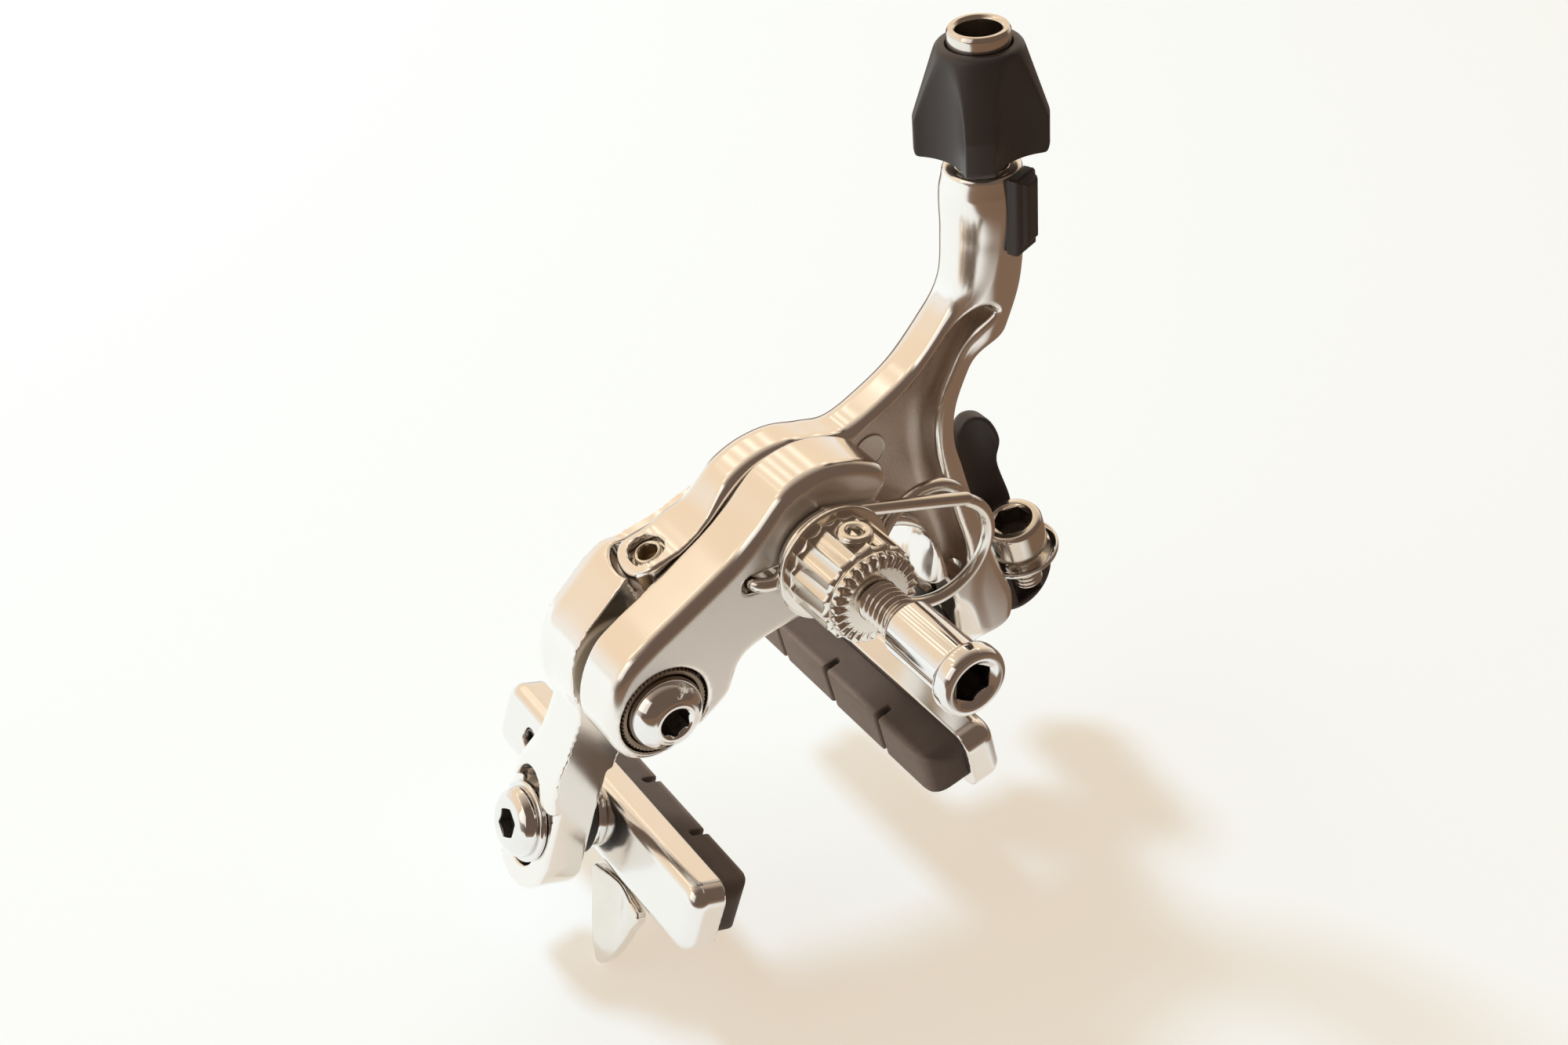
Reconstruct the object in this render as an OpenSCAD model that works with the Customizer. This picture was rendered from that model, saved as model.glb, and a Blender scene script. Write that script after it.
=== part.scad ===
// Dual-pivot road rim brake caliper.
// The origin lies on the centre bolt, on the washer face that meets the fork.
// +Z is up, +Y points back into the fork, and +X is the side-pivot side.

/* [Mounting] */
// Thread diameter of the centre bolt
bolt_d = 6; // [5:0.1:6.6]
// Shoulder of the centre bolt, on which the inner arm turns
shoulder_d = 8; // [7:0.1:9]
// Outside diameter of the recessed sleeve nut
sleeve_d = 8; // [7.6:0.1:10]
// Length of the sleeve nut
sleeve_len = 14.8; // [10:0.1:20]
// Diameter of the sleeve nut's flange
flange_d = 10; // [9:0.1:13]
// Bare thread between the washer and the sleeve nut
bare_thread = 6.4; // [3:0.1:12]
// Hex socket of the sleeve nut, across flats
sleeve_hex = 5; // [4:0.1:5.5]

/* [Collar] */
// Diameter of the toothed washer
washer_d = 13.4; // [12:0.1:16]
// Thickness of the toothed washer
washer_t = 1.6; // [1:0.1:3]
// Teeth on the washer
washer_teeth = 28; // [16:1:36]
// Diameter of the fluted collar
collar_d = 14.8; // [12:0.1:17]
// Length of the fluted stretch
collar_len = 8.3; // [5:0.1:14]
// Flutes around the collar
flutes = 18; // [12:1:36]
// Diameter of the collar's thin flange
cover_d = 17.3; // [15:0.1:19]
// Thickness of the thin flange
cover_t = 1; // [0.6:0.1:2]
// Room for the spring wire between the flange and the plate
seat_t = 2.6; // [2:0.1:4]

/* [Bridge plate] */
// Thickness of the plate
plate_t = 9; // [7:0.1:12]
// Round boss around the centre bolt
boss_r = 11.2; // [10:0.1:14]
// Round end around the side pivot
plate_end_r = 8.4; // [7.5:0.1:10]
// Side pivot, sideways from the centre bolt
pivot_x = 24.6; // [22:0.1:30]
// Side pivot, below the centre bolt
pivot_drop = 17.4; // [14:0.1:20]
// Diameter of the recess around the side bolt
recess_d = 13.5; // [12:0.1:14.6]
// Depth of the recess
recess_deep = 3.4; // [2:0.1:5]

/* [Arms] */
// Thickness of the inner arm
arm_t = 8; // [7:0.1:10]
// Thickness of the outer arm beside the plate
shoulder_t = 13.5; // [12:0.1:16]
// Thickness of the outer arm's arch, in front of the inner arm
arch_t = 7.5; // [6:0.1:10]
// Thickness of the thrust washers
thrust_t = 0.5; // [0.3:0.1:1.2]
// Running room between the two arms
layer_gap = 1; // [0.6:0.1:2]
// Radius of the inner arm's hub
hub_r = 11; // [10:0.1:13]
// Depth of the hollow in the back of the inner arm
hollow_deep = 5; // [3:0.1:5.6]
// Outside diameter of the centre bush
bush_d = 11; // [9.6:0.1:12]
// Diameter of the side bolt's shank
side_d = 8; // [6:0.1:8.4]
// Outside diameter of the side bush
side_bush_d = 10; // [9:0.1:11]
// Radius of the outer arm's knuckle
knuckle_r = 8.2; // [7.5:0.1:9]

/* [Pads] */
// Inner face of the legs, sideways from the centre
leg_x = 31.2; // [28:0.1:38]
// Thickness of the legs where the pads are bolted
leg_t = 7; // [5:0.1:8.4]
// Width of the legs, front to back
leg_w = 13.6; // [13:0.1:15]
// Height of the right pad's bolt below the centre bolt
right_drop = 37; // [35:0.1:44]
// Height of the left pad's bolt below the centre bolt
left_drop = 46; // [42:0.1:52]
// Lean of the pads with the brake open
pad_lean = 16.5; // [8:0.5:20]
// Travel of the pad bolt in its slot
slot_travel = 10; // [6:0.1:12]
// Diameter of the pad bolts
pad_bolt_d = 6; // [5:0.1:6.4]
// Length of the rubber pads
pad_len = 55; // [45:0.5:66]
// Height of the rubber pads
pad_h = 8.6; // [7:0.1:11]
// Rubber that stands out of its holder
rubber_out = 6; // [3:0.1:8]
// Depth of the holders
holder_t = 5.4; // [4.4:0.1:7]
// Length of the pointed guides under the holders
guide_h = 14; // [6:0.1:16]
// Inner face of the right leg, set back behind the washers
right_inset = 3.6; // [0:0.1:4.6]
// Thickness of the washers behind the right holder, together, up to the line of the left leg
right_pack = 5.6; // [4:0.1:8]
// Thickness of the washers behind the left holder, together
left_pack = 3.6; // [3:0.1:8]

/* [Cable adjuster] */
// Top of the adjuster boss, sideways
boss_x = -32.4; // [-36:0.1:-30]
// Top of the adjuster boss, above the centre bolt
boss_z = 44.9; // [42:0.1:52]
// Lean of the adjuster
barrel_lean = 6.4; // [0:0.1:8]
// Diameter of the boss
barrel_boss_d = 10.4; // [9.6:0.1:13]
// Diameter of the threaded tube
tube_d = 8.5; // [7.5:0.1:9.4]
// Diameter of the tube's threaded stem, in the boss
stem_d = 7; // [5:0.1:7.4]
// Bore of the tube, for the cable's end cap
tube_bore = 6.1; // [5:0.1:6.4]
// Tube above the knob
tube_out = 2.2; // [1:0.1:5]
// Height of the knob
knob_h = 15.2; // [12:0.1:22]
// Bare tube between the boss and the knob
knob_gap = 2.3; // [0.3:0.1:4]
// Width of the knob across its wings, at the bottom
knob_w = 18.2; // [16:0.1:21]
// Diameter of the knob's top
knob_top_d = 12.3; // [11:0.1:14]

/* [Quick release] */
// Lever pivot, outwards from the right leg's inner face
lever_out = 19.6; // [19:0.1:26]
// Lever pivot, below the centre bolt
lever_drop = 33.3; // [32:0.1:38]
// Radius of the lever's round body
lever_r = 6.6; // [6.4:0.1:7.8]
// Diameter of the lever's pin
lever_pin_d = 5; // [4:0.1:6]
// Lean of the anchor bolt
anchor_lean = 20; // [10:0.5:26]
// Diameter of the anchor bolt's thread
anchor_d = 5; // [4:0.1:6]
// Diameter of the anchor bolt's head
anchor_head_d = 9.6; // [7:0.1:10.4]

/* [Small parts] */
// Diameter of the return spring's wire
wire_d = 2; // [1.4:0.1:2.2]
// Radius of the return spring's loop
loop_r = 9; // [8:0.1:10.4]
// Diameter of the centring screw
screw_d = 4.4; // [3.6:0.1:5]
// Radial room in the turning fits
running_gap = 0.04; // [0.02:0.01:0.08]
// Radial room around fixed shanks
fixed_gap = 0.05; // [0.02:0.01:0.1]
// Room between curved faces that pass each other
pass_gap = 0.6; // [0.4:0.1:1]

/* [Hidden] */
$fn = 64;

// Faces along Y, from the fork forward
collar_y = -washer_t;
cover_y = collar_y - collar_len;
seat_y = cover_y - cover_t;
plate_y = seat_y - seat_t;
plate_front = plate_y - plate_t;
arm_y = plate_front - thrust_t;
arm_front = arm_y - arm_t;
shoulder_front = arm_y - shoulder_t;
arch_y = arm_front - layer_gap;
arch_front = arch_y - arch_t;
band_y = arch_front + 0.2;
band_front = band_y - arch_t;
pad_y = arm_y - 8.5;

centre = [0, 0];
pivot = [pivot_x, -pivot_drop];
lever = [-leg_x - lever_out, -lever_drop];

// Shared sizes of the hidden stacks
clamp_t = 1.6;
side_head_r = 5.8;
side_ring_t = 1.4;
tooth_deep = 0.6;
set_screw_d = 3;
nut_t = 2.6;
front_washer_t = 0.6;
counterbore_r = 8.2;
counterbore_deep = nut_t + front_washer_t + 0.2;
side_nut_r = 5.2;
side_nut_deep = nut_t + 0.4;
bolt_washer_t = 1;
pad_washer_r = 6;
slot_w = pad_bolt_d + 0.4;
left_low = 6 - slot_travel;
right_low = 9 - slot_travel;
screw_lean = 24;
screw_at = [18.8, -2];
tip_at = [19.2, -5];
tip_r = 4.4;
barrel_y = arm_y - 1.7;
anchor_y = arm_y - 5.8;
lever_back = anchor_y + 5;
lever_front = arch_front + 0.6;

// A point at a radius and an angle from another, in the XZ plane
function polar(c, r, a) = [c[0] + r * cos(a), c[1] + r * sin(a)];
// A point on a smooth curve between p1 and p2
function blend(p0, p1, p2, p3, t) =
    0.5 * (2 * p1 + (p2 - p0) * t + (2 * p0 - 5 * p1 + 4 * p2 - p3) * t * t
        + (3 * p1 - p0 - 3 * p2 + p3) * t * t * t);
// A closed smooth outline through a few points
function smooth(p, steps = 5) = let (n = len(p)) [for (i = [0 : n - 1], k = [0 : steps - 1])
    blend(p[(i + n - 1) % n], p[i], p[(i + 1) % n], p[(i + 2) % n], k / steps)];
// A point on a leg: u outwards along the pad bolt, w up across it, side 1 left and -1 right
function on_side(side, u, w) = [side * (leg_x + u * cos(pad_lean) - w * sin(pad_lean)),
    u * sin(pad_lean) + w * cos(pad_lean) - (side > 0 ? left_drop : right_drop)];
// How far a leg's inner face is set back
function inset(side) = side > 0 ? 0 : right_inset;
// A point beside the adjuster's axis: t below the boss top, s towards +X
function on_barrel(t, s) = [boss_x - t * sin(barrel_lean) + s * cos(barrel_lean),
    boss_z - t * cos(barrel_lean) - s * sin(barrel_lean)];

// An XZ outline between two places along Y
module along_y(front, back) {
    translate([0, back, 0]) rotate([90, 0, 0]) linear_extrude(back - front) children();
}
// A round bar along Y
module bar_y(at, r, front, back) {
    translate([at[0], back, at[1]]) rotate([90, 0, 0]) cylinder(r = r, h = back - front);
}
// A turned shape about a Y axis, from points of radius and place along Y
module turned_y(at, profile) {
    translate([at[0], 0, at[1]]) rotate([90, 0, 0])
        rotate_extrude() polygon([for (q = profile) [q[0], -q[1]]]);
}
// A flat ring about a Y axis
module ring_y(at, r_in, r_out, front, back) {
    difference() {
        bar_y(at, r_out, front, back);
        bar_y(at, r_in, front - 1, back + 1);
    }
}
// A hexagonal bar along Y, by its width across flats
module hex_y(at, flats, front, back) {
    translate([at[0], back, at[1]]) rotate([90, 0, 0])
        cylinder(d = flats / cos(30), h = back - front, $fn = 6);
}
// Pad parts are drawn with the bolt along +X, and the leg's inner face at zero
module on_leg(side) {
    translate([side * leg_x, pad_y, side > 0 ? -left_drop : -right_drop]) {
        if (side > 0) rotate([0, -pad_lean, 0]) children();
        else mirror([1, 0, 0]) rotate([0, -pad_lean, 0]) children();
    }
}
// A round bar along the pad bolt
module bar_u(r, from, to) {
    translate([from, 0, 0]) rotate([0, 90, 0]) cylinder(r = r, h = to - from);
}
// A shape turned about the pad bolt, from points of radius and place outwards
module turned_u(profile) {
    rotate([0, 90, 0]) rotate_extrude() polygon(profile);
}
// Adjuster parts are drawn upright on the boss top
module upright() {
    translate([boss_x, barrel_y, boss_z]) rotate([0, barrel_lean, 0]) children();
}
// The centring screw is drawn upright, leaning across the inner arm's finger
module at_screw() {
    translate([screw_at[0], arm_y - arm_t / 2, screw_at[1]]) rotate([0, screw_lean, 0]) children();
}
// Anchor parts are drawn upright, with the underside of the head at zero
module at_anchor() {
    translate([lever[0] + 2.6, anchor_y, lever[1] + lever_r + 2.4]) rotate([0, anchor_lean, 0]) children();
}
// The slot that a pad bolt slides in, the flats that its washers sit on, and the leg's round end
module leg_cuts(side, low) {
    on_leg(side) {
        translate([-8, -slot_w / 2, low]) cube([leg_t + 16, slot_w, slot_travel]);
        for (w = [low, low + slot_travel]) translate([0, 0, w]) bar_u(slot_w / 2, -8, leg_t + 8);
        translate([-12, -leg_w, low - 9]) cube([12 + inset(side), 2 * leg_w, slot_travel + 15]);
        translate([leg_t, -pad_washer_r - 0.4, low - 9]) cube([12, 2 * pad_washer_r + 0.8, slot_travel + 17]);
        difference() {
            translate([-12, -2 * leg_w, low - 20]) cube([leg_t + 24, 4 * leg_w, 20]);
            translate([0, 0, low]) bar_u(leg_w / 2, -13, leg_t + 13);
        }
    }
}
// The width of a leg, seen along its bolt
module leg_band(side, low, high) {
    on_leg(side) translate([-8, -leg_w / 2, low - leg_w / 2])
        cube([leg_t + 24, leg_w, high - low + leg_w / 2]);
}

// Outlines in the XZ plane
plate_outline = smooth([polar(centre, boss_r + 2.2, 148), polar(centre, boss_r + 3, 136),
    polar(centre, boss_r + 2, 114), polar(centre, boss_r + 1.3, 90), polar(centre, boss_r + 0.7, 63),
    polar(centre, boss_r + 0.5, 28.5), polar(pivot, plate_end_r + 13.8, 118),
    polar(pivot, plate_end_r + 7.1, 103.4), polar(pivot, plate_end_r + 3, 77),
    polar(pivot, plate_end_r + 1.7, 52.7), polar(pivot, plate_end_r + 0.4, 22),
    polar(pivot, plate_end_r, -12), polar(pivot, plate_end_r, -52), polar(pivot, plate_end_r - 0.5, -92),
    polar(pivot, plate_end_r - 0.6, -132), polar(pivot, plate_end_r + 2.2, -170),
    polar(centre, boss_r + 6.4, -50), polar(centre, boss_r + 0.4, -72), polar(centre, boss_r - 0.2, -102),
    polar(centre, boss_r - 0.4, -138), polar(centre, boss_r - 0.6, -174), polar(centre, boss_r - 0.8, 158)]);

// Inner arm: hub, neck to the adjuster boss, right rib and the finger that carries the centring screw
arm_outline = smooth([[tip_at[0] + tip_r, tip_at[1]], polar(tip_at, tip_r, 60), [16.6, 0.6], [12.4, 3.8],
    polar(centre, hub_r + 1, 44), polar(centre, hub_r + 0.6, 70), polar(centre, hub_r + 0.8, 96),
    polar(centre, hub_r + 1.6, 120), [-11, 10.4], [-16, 12.6], [-21.6, 16.4], [-26, 21.8], on_barrel(17, 4.6),
    on_barrel(10, 4.4), on_barrel(4, 3), on_barrel(4, -3), on_barrel(11, -4.4), on_barrel(19, -4),
    [-35, 19.6], [-32, 13.6], [-30.2, 8], [-30.4, 2.6], [-32.2, -2.6],
    [-leg_x / 2 - 19, -9], [-leg_x - 6.2, -16],
    on_side(-1, leg_t + 5.9, 11.8), on_side(-1, leg_t + 6.6, 8), on_side(-1, leg_t + 7.2, 3),
    on_side(-1, leg_t + 5.8, -1.2), on_side(-1, leg_t + 2, -1.8), on_side(-1, leg_t - 1.2, 0.4),
    on_side(-1, leg_t - 2.2, 6.8), on_side(-1, 0.6, 14), [4.2 - leg_x, -14], [-21.4, -9.6],
    [-14.6, -9.2], polar(centre, hub_r, -122), polar(centre, hub_r, -90), polar(centre, hub_r, -58),
    [12.6, -8.4], [16.4, -7.6]]);
// The hollow between its two ribs
hollow_outline = smooth([on_barrel(20, 2.8), [-28.6, 22.4], [-23.6, 16.2], [-18.4, 12], [-12.8, 8.6],
    polar(centre, hub_r, 160), polar(centre, hub_r, 184), [-12.4, -5.6], [-18.4, -6],
    [-leg_x / 2 - 8.4, -9], [3 - leg_x, -15],
    on_side(-1, 4, 15), on_side(-1, 5, 12.8), on_side(-1, 6.8, 14), [-leg_x - 2.4, -17.6],
    [-30.8, -10], [-28.2, -3], [-26.6, 3], [-26.6, 9], [-28.8, 15], [-31.4, 20.2], on_barrel(21.6, 0.8)]);
// The inner arm's lower leg
right_leg_outline = smooth([[-leg_x - 0.2, -13.6], [-leg_x - 5.4, -15.6], on_side(-1, leg_t + 0.6, 9),
    on_side(-1, leg_t + 0.6, 0), on_side(-1, leg_t + 0.6, -9), on_side(-1, leg_t + 0.2, -17),
    on_side(-1, -0.4, -17), on_side(-1, -0.6, -9), on_side(-1, -0.6, 0), on_side(-1, -0.4, 10),
    [2.8 - leg_x, -18]]);
// Outer arm: the shoulder and leg beside the plate
shoulder_outline = smooth([polar(pivot, knuckle_r + 5, 84), polar(pivot, knuckle_r + 2.2, 58),
    polar(pivot, knuckle_r + 0.4, 24), polar(pivot, knuckle_r, -8), polar(pivot, knuckle_r + 1.2, -38),
    on_side(1, leg_t + 0.4, 15), on_side(1, leg_t + 1, 9), on_side(1, leg_t + 0.6, 2),
    on_side(1, leg_t + 0.6, -5), on_side(1, leg_t, -17), on_side(1, -0.4, -17), on_side(1, -0.6, -5),
    on_side(1, -0.6, 2), on_side(1, -0.4, 10), [leg_x - 7.2, -28.4], polar(pivot, knuckle_r, -130),
    polar(pivot, knuckle_r - 0.2, -170), polar(pivot, knuckle_r - 0.2, 150),
    polar(pivot, knuckle_r - 0.2, 116)]);
// The root of its arch, over the inner arm's finger
root_outline = smooth([[0, 4.6], [6, 4.8], [11, 3.4], [16, 0.6], polar(pivot, knuckle_r + 6.6, 104),
    polar(pivot, knuckle_r + 3.4, 82), polar(pivot, knuckle_r + 1, 44), polar(pivot, knuckle_r - 0.4, -20),
    polar(pivot, knuckle_r, -80), polar(pivot, knuckle_r, -140), [13, -16], [5, -11.4], [-3, -6]]);
// The arch that crosses in front of the inner arm
arch_outline = smooth([[-34, -5.6], [-27, -3.4], [-18, -1.8], [-8, -1], [2, -1.4], [10, -3.4], [16, -7],
    polar(pivot, knuckle_r - 1, 132), polar(pivot, knuckle_r - 1, 176), [13.4, -16.2], [8, -12.6], [0, -11.2],
    [-10, -10.8], [-20, -11.8], [-28, -14], [-33.4, -12]]);
// The band that carries the arch on to the lever's pin
band_outline = smooth([[-24, -2.6], [-34, -5.4], lever + [6.4, 21.9], lever + [-1, 13.9], polar(lever, 9, 96),
    polar(lever, 8.6, 150), polar(lever, 7.4, 200), polar(lever, 6.6, 262), polar(lever, 6.6, 320),
    lever + [6.6, 5.5], lever + [12, 13.9], [-31, -14.4], [-24, -12]]);

// Return spring: over the bolt, once and a half around the loop, and into the inner arm's hollow
loop_at = [-19.6, -7.2];
wrap_r = shoulder_d / 2 + wire_d / 2 + 1.6;
leg_y = plate_y + seat_t / 2;
loop_pitch = 2 * wire_d + 0.4;
span = norm(loop_at);
leave = atan2(loop_at[1], loop_at[0]) + 360 - acos((wrap_r - loop_r) / span);
slot_from = [wrap_r + 0.4, -1.4];
slot_to = [wrap_r + 4.4, -1.6];
loop_turn = 396;
loop_steps = 28;
hook_at = polar(loop_at, loop_r, leave + loop_turn);
loop_end_y = leg_y - loop_pitch * loop_turn / 360;
wire_path = concat(
    [[slot_to[0], plate_y - 1.8, slot_to[1]], [slot_to[0] - 0.8, plate_y + 0.4, slot_to[1]],
        [slot_from[0] + 1, leg_y, slot_from[1]]],
    [for (k = [0 : 6]) let (p = polar(centre, wrap_r, k * leave / 6)) [p[0], leg_y, p[1]]],
    [for (k = [0 : loop_steps]) let (p = polar(loop_at, loop_r, leave + loop_turn * k / loop_steps))
        [p[0], leg_y - loop_pitch * max(0, k - 2) / (loop_steps - 2) * loop_turn / 360, p[1]]],
    [[hook_at[0] - 1.4, loop_end_y - 1, hook_at[1] - 1.6],
        [hook_at[0] - 1.6, loop_end_y - 3.4, hook_at[1] - 3.4],
        [hook_at[0] - 0.9, loop_end_y - 7, hook_at[1] - 4.6]]);
// Least gap between stretches of the wire that aren't neighbours
wire_gap = min([for (i = [0 : len(wire_path) - 1], j = [0 : len(wire_path) - 1])
    if (j > i + 9) norm(wire_path[i] - wire_path[j]) - wire_d]);
echo("least gap in the return spring", wire_gap);

// A round wire along a path, with six sides
module wire(path, r, sides = 6) {
    n = len(path);
    rings = [for (i = [0 : n - 1]) let (
        run = path[min(i + 1, n - 1)] - path[max(i - 1, 0)],
        t = run / norm(run),
        across = cross(t, [0, 1, 0]) / norm(cross(t, [0, 1, 0])),
        up = cross(across, t))
        for (s = [0 : sides - 1]) path[i] + r * (across * cos(360 * s / sides) + up * sin(360 * s / sides))];
    walls = [for (i = [0 : n - 2], s = [0 : sides - 1]) let (
        a = i * sides + s, b = i * sides + (s + 1) % sides)
        for (f = [[a, b, a + sides], [b, b + sides, a + sides]]) f];
    first = [for (s = [1 : sides - 2]) [0, s + 1, s]];
    last = [for (s = [1 : sides - 2]) let (o = (n - 1) * sides) [o, o + s, o + s + 1]];
    polyhedron(rings, concat(walls, first, last));
}

module bridge_plate() {
    color("gainsboro") difference() {
        along_y(plate_front, plate_y) polygon(plate_outline);
        bar_y(centre, shoulder_d / 2 + fixed_gap, plate_front - 1, plate_y + 1);
        bar_y(pivot, side_d / 2 + fixed_gap, plate_front - 1, plate_y + 1);
        bar_y(pivot, recess_d / 2, plate_y - recess_deep, plate_y + 1);
        // Slot that holds the spring's end
        along_y(plate_y - 4, plate_y + 1) union() {
            translate(slot_to) circle(wire_d / 2 + 0.4);
            translate([slot_from[0] - 0.6, slot_to[1] - wire_d / 2 - 0.4])
                square([slot_to[0] - slot_from[0] + 0.6, wire_d + 0.8]);
        }
    }
}
module centre_bolt() {
    back = bare_thread + sleeve_len * 0.6;
    step = arm_front + counterbore_deep - front_washer_t;
    front = arm_front + 0.3;
    color("silver") difference() {
        turned_y(centre, [[0, back], [bolt_d / 2 - 0.6, back], [bolt_d / 2, back - 0.6],
            [bolt_d / 2, plate_y + 1], [shoulder_d / 2, plate_y], [shoulder_d / 2, step], [bolt_d / 2, step],
            [bolt_d / 2, front], [0, front]]);
        hex_y(centre, 2.5, front - 0.3, front + 2.2);
    }
}
module sleeve_nut() {
    back = bare_thread + sleeve_len;
    color("silver") difference() {
        turned_y(centre, [[0, bare_thread], [sleeve_d / 2 - 0.5, bare_thread],
            [sleeve_d / 2, bare_thread + 0.5], [sleeve_d / 2, back - 3.2],
            [flange_d / 2 - 0.3, back - 2.9], [flange_d / 2, back - 2.4],
            [flange_d / 2, back - 0.7], [flange_d / 2 - 0.7, back], [0, back]]);
        bar_y(centre, bolt_d / 2 + fixed_gap, bare_thread - 1, back - 5);
        hex_y(centre, sleeve_hex, back - 5.4, back + 1);
    }
}
module serrated_washer() {
    color("silver") difference() {
        bar_y(centre, washer_d / 2, -washer_t, 0);
        bar_y(centre, bolt_d / 2 + fixed_gap, -washer_t - 1, 1);
        for (k = [0 : washer_teeth - 1]) rotate([0, 360 * k / washer_teeth, 0])
            translate([washer_d / 2 - 2.4, -tooth_deep, 0]) rotate([45, 0, 0]) cube([4, 1, 1]);
    }
}
module collar() {
    flute_deep = 0.28;
    bore_r = bolt_d / 2 + 2 * fixed_gap;
    seat_r = shoulder_d / 2 + 0.4;
    color("silver") difference() {
        union() {
            along_y(cover_y, collar_y) polygon([for (k = [0 : flutes * 6 - 1])
                polar(centre, collar_d / 2 - flute_deep * (1 - cos(60 * k)), 60 * k / flutes)]);
            bar_y(centre, cover_d / 2, seat_y, cover_y);
            bar_y(centre, wrap_r - wire_d / 2 - 0.3, plate_y, seat_y);
        }
        bar_y(centre, bore_r, plate_y + 1, 1);
        turned_y(centre, [[0, plate_y - 1], [seat_r, plate_y - 1], [seat_r, plate_y], [bore_r, plate_y + 1.3],
            [0, plate_y + 1.3]]);
        translate([0, (collar_y + cover_y) / 2, 0]) cylinder(d = set_screw_d + 2 * fixed_gap, h = collar_d);
    }
}
module collar_screw() {
    long = collar_d / 2 - bolt_d / 2 - 0.8;
    color("dimgray") translate([0, (collar_y + cover_y) / 2, bolt_d / 2 + 0.3]) difference() {
        cylinder(d = set_screw_d, h = long);
        translate([0, 0, long - 1.5]) cylinder(d = 1.5 / cos(30), h = 4, $fn = 6);
    }
}
module centre_washer() {
    color("tan") ring_y(centre, shoulder_d / 2 + fixed_gap, hub_r - 1.6, arm_y, plate_front);
}
module front_washer() {
    back = arm_front + counterbore_deep;
    color("tan") ring_y(centre, shoulder_d / 2 + fixed_gap, 7.4, back - front_washer_t, back);
}
module lock_nut() {
    back = arm_front + counterbore_deep - front_washer_t;
    color("dimgray") difference() {
        hex_y(centre, 12, back - nut_t, back);
        bar_y(centre, bolt_d / 2 + fixed_gap, back - nut_t - 1, back + 1);
    }
}
module side_bolt() {
    floor_y = plate_y - recess_deep + side_ring_t;
    front = shoulder_front + 0.3;
    color("silver") difference() {
        turned_y(pivot, [[0, front], [side_d / 2 - 1, front], [side_d / 2 - 1, front + nut_t],
            [side_d / 2, front + nut_t], [side_d / 2, floor_y], [side_head_r, floor_y],
            [side_head_r, floor_y + 3.2], [side_head_r - 0.5, floor_y + 4.2],
            [side_head_r - 1.6, floor_y + 5], [0, floor_y + 5]]);
        hex_y(pivot, 4, floor_y + 2, floor_y + 6);
        turned_y(pivot, [[0, floor_y + 4.2], [3.6, floor_y + 4.2], [4.2, floor_y + 6], [0, floor_y + 6]]);
    }
}
module side_ring() {
    floor_y = plate_y - recess_deep;
    color("dimgray")
        ring_y(pivot, side_d / 2 + fixed_gap, recess_d / 2 - 0.3, floor_y, floor_y + side_ring_t);
}
module side_washer() {
    color("tan") ring_y(pivot, side_d / 2 + fixed_gap, knuckle_r - 1.2, arm_y, plate_front);
}
module side_nut() {
    color("dimgray") ring_y(pivot, side_d / 2 - 1 + fixed_gap, side_nut_r, shoulder_front + 0.3,
        shoulder_front + 0.3 + nut_t);
}
module return_spring() {
    color("silver") wire(wire_path, wire_d / 2);
}
module y_arm() {
    color("lightgray") difference() {
        union() {
            along_y(arm_front, arm_y) polygon(arm_outline);
            intersection() {
                along_y(pad_y - leg_w, pad_y + leg_w) polygon(right_leg_outline);
                leg_band(-1, right_low, 14);
            }
            upright() translate([0, 0, -16]) cylinder(d = barrel_boss_d, h = 16);
        }
        along_y(arm_y - hollow_deep, arm_y + 1) polygon(hollow_outline);
        bar_y(centre, bush_d / 2, arm_front - 1, arm_y + 1);
        bar_y(centre, counterbore_r, arm_front - 1, arm_front + counterbore_deep);
        upright() {
            translate([0, 0, -12]) cylinder(d = stem_d + 2 * running_gap, h = 20);
            translate([0, 0, -34]) cylinder(d = 2.4, h = 30);
        }
        leg_cuts(-1, right_low);
        on_leg(-1) bar_u(pad_washer_r + 0.8, leg_t, leg_t + 14);
        at_screw() translate([0, 0, -12]) cylinder(d = screw_d + 2 * running_gap, h = 24);
        // The outer arm's knuckle turns below the finger
        bar_y(pivot, knuckle_r + pass_gap, arm_front - 1, arm_y + 1);
    }
}
module centre_bush() {
    color("peru")
        ring_y(centre, shoulder_d / 2 + running_gap, bush_d / 2, arm_front + counterbore_deep, arm_y);
}
module barrel_clip() {
    color("black") upright() rotate([0, 0, 110]) difference() {
        translate([barrel_boss_d / 2 - 1, -2.4, -11.6]) cube([4, 4.8, 11.6]);
        translate([0, 0, -20]) cylinder(d = barrel_boss_d + 2 * fixed_gap, h = 30);
    }
}
module centring_screw() {
    color("gray") at_screw() difference() {
        translate([0, 0, -6.4]) cylinder(d = screw_d, h = 7.6);
        translate([0, 0, -1]) cylinder(d = 2.5 / cos(30), h = 4, $fn = 6);
    }
}
module adjuster_tube() {
    step = 3;
    top = knob_gap + knob_h + tube_out;
    color("silver") upright() difference() {
        union() {
            translate([0, 0, -9]) cylinder(d = stem_d, h = 9 + step);
            translate([0, 0, step]) cylinder(d = tube_d, h = top - step);
        }
        translate([0, 0, step + 2]) cylinder(d = tube_bore, h = top);
        translate([0, 0, -10]) cylinder(d = 2.4, h = top);
    }
}
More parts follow.
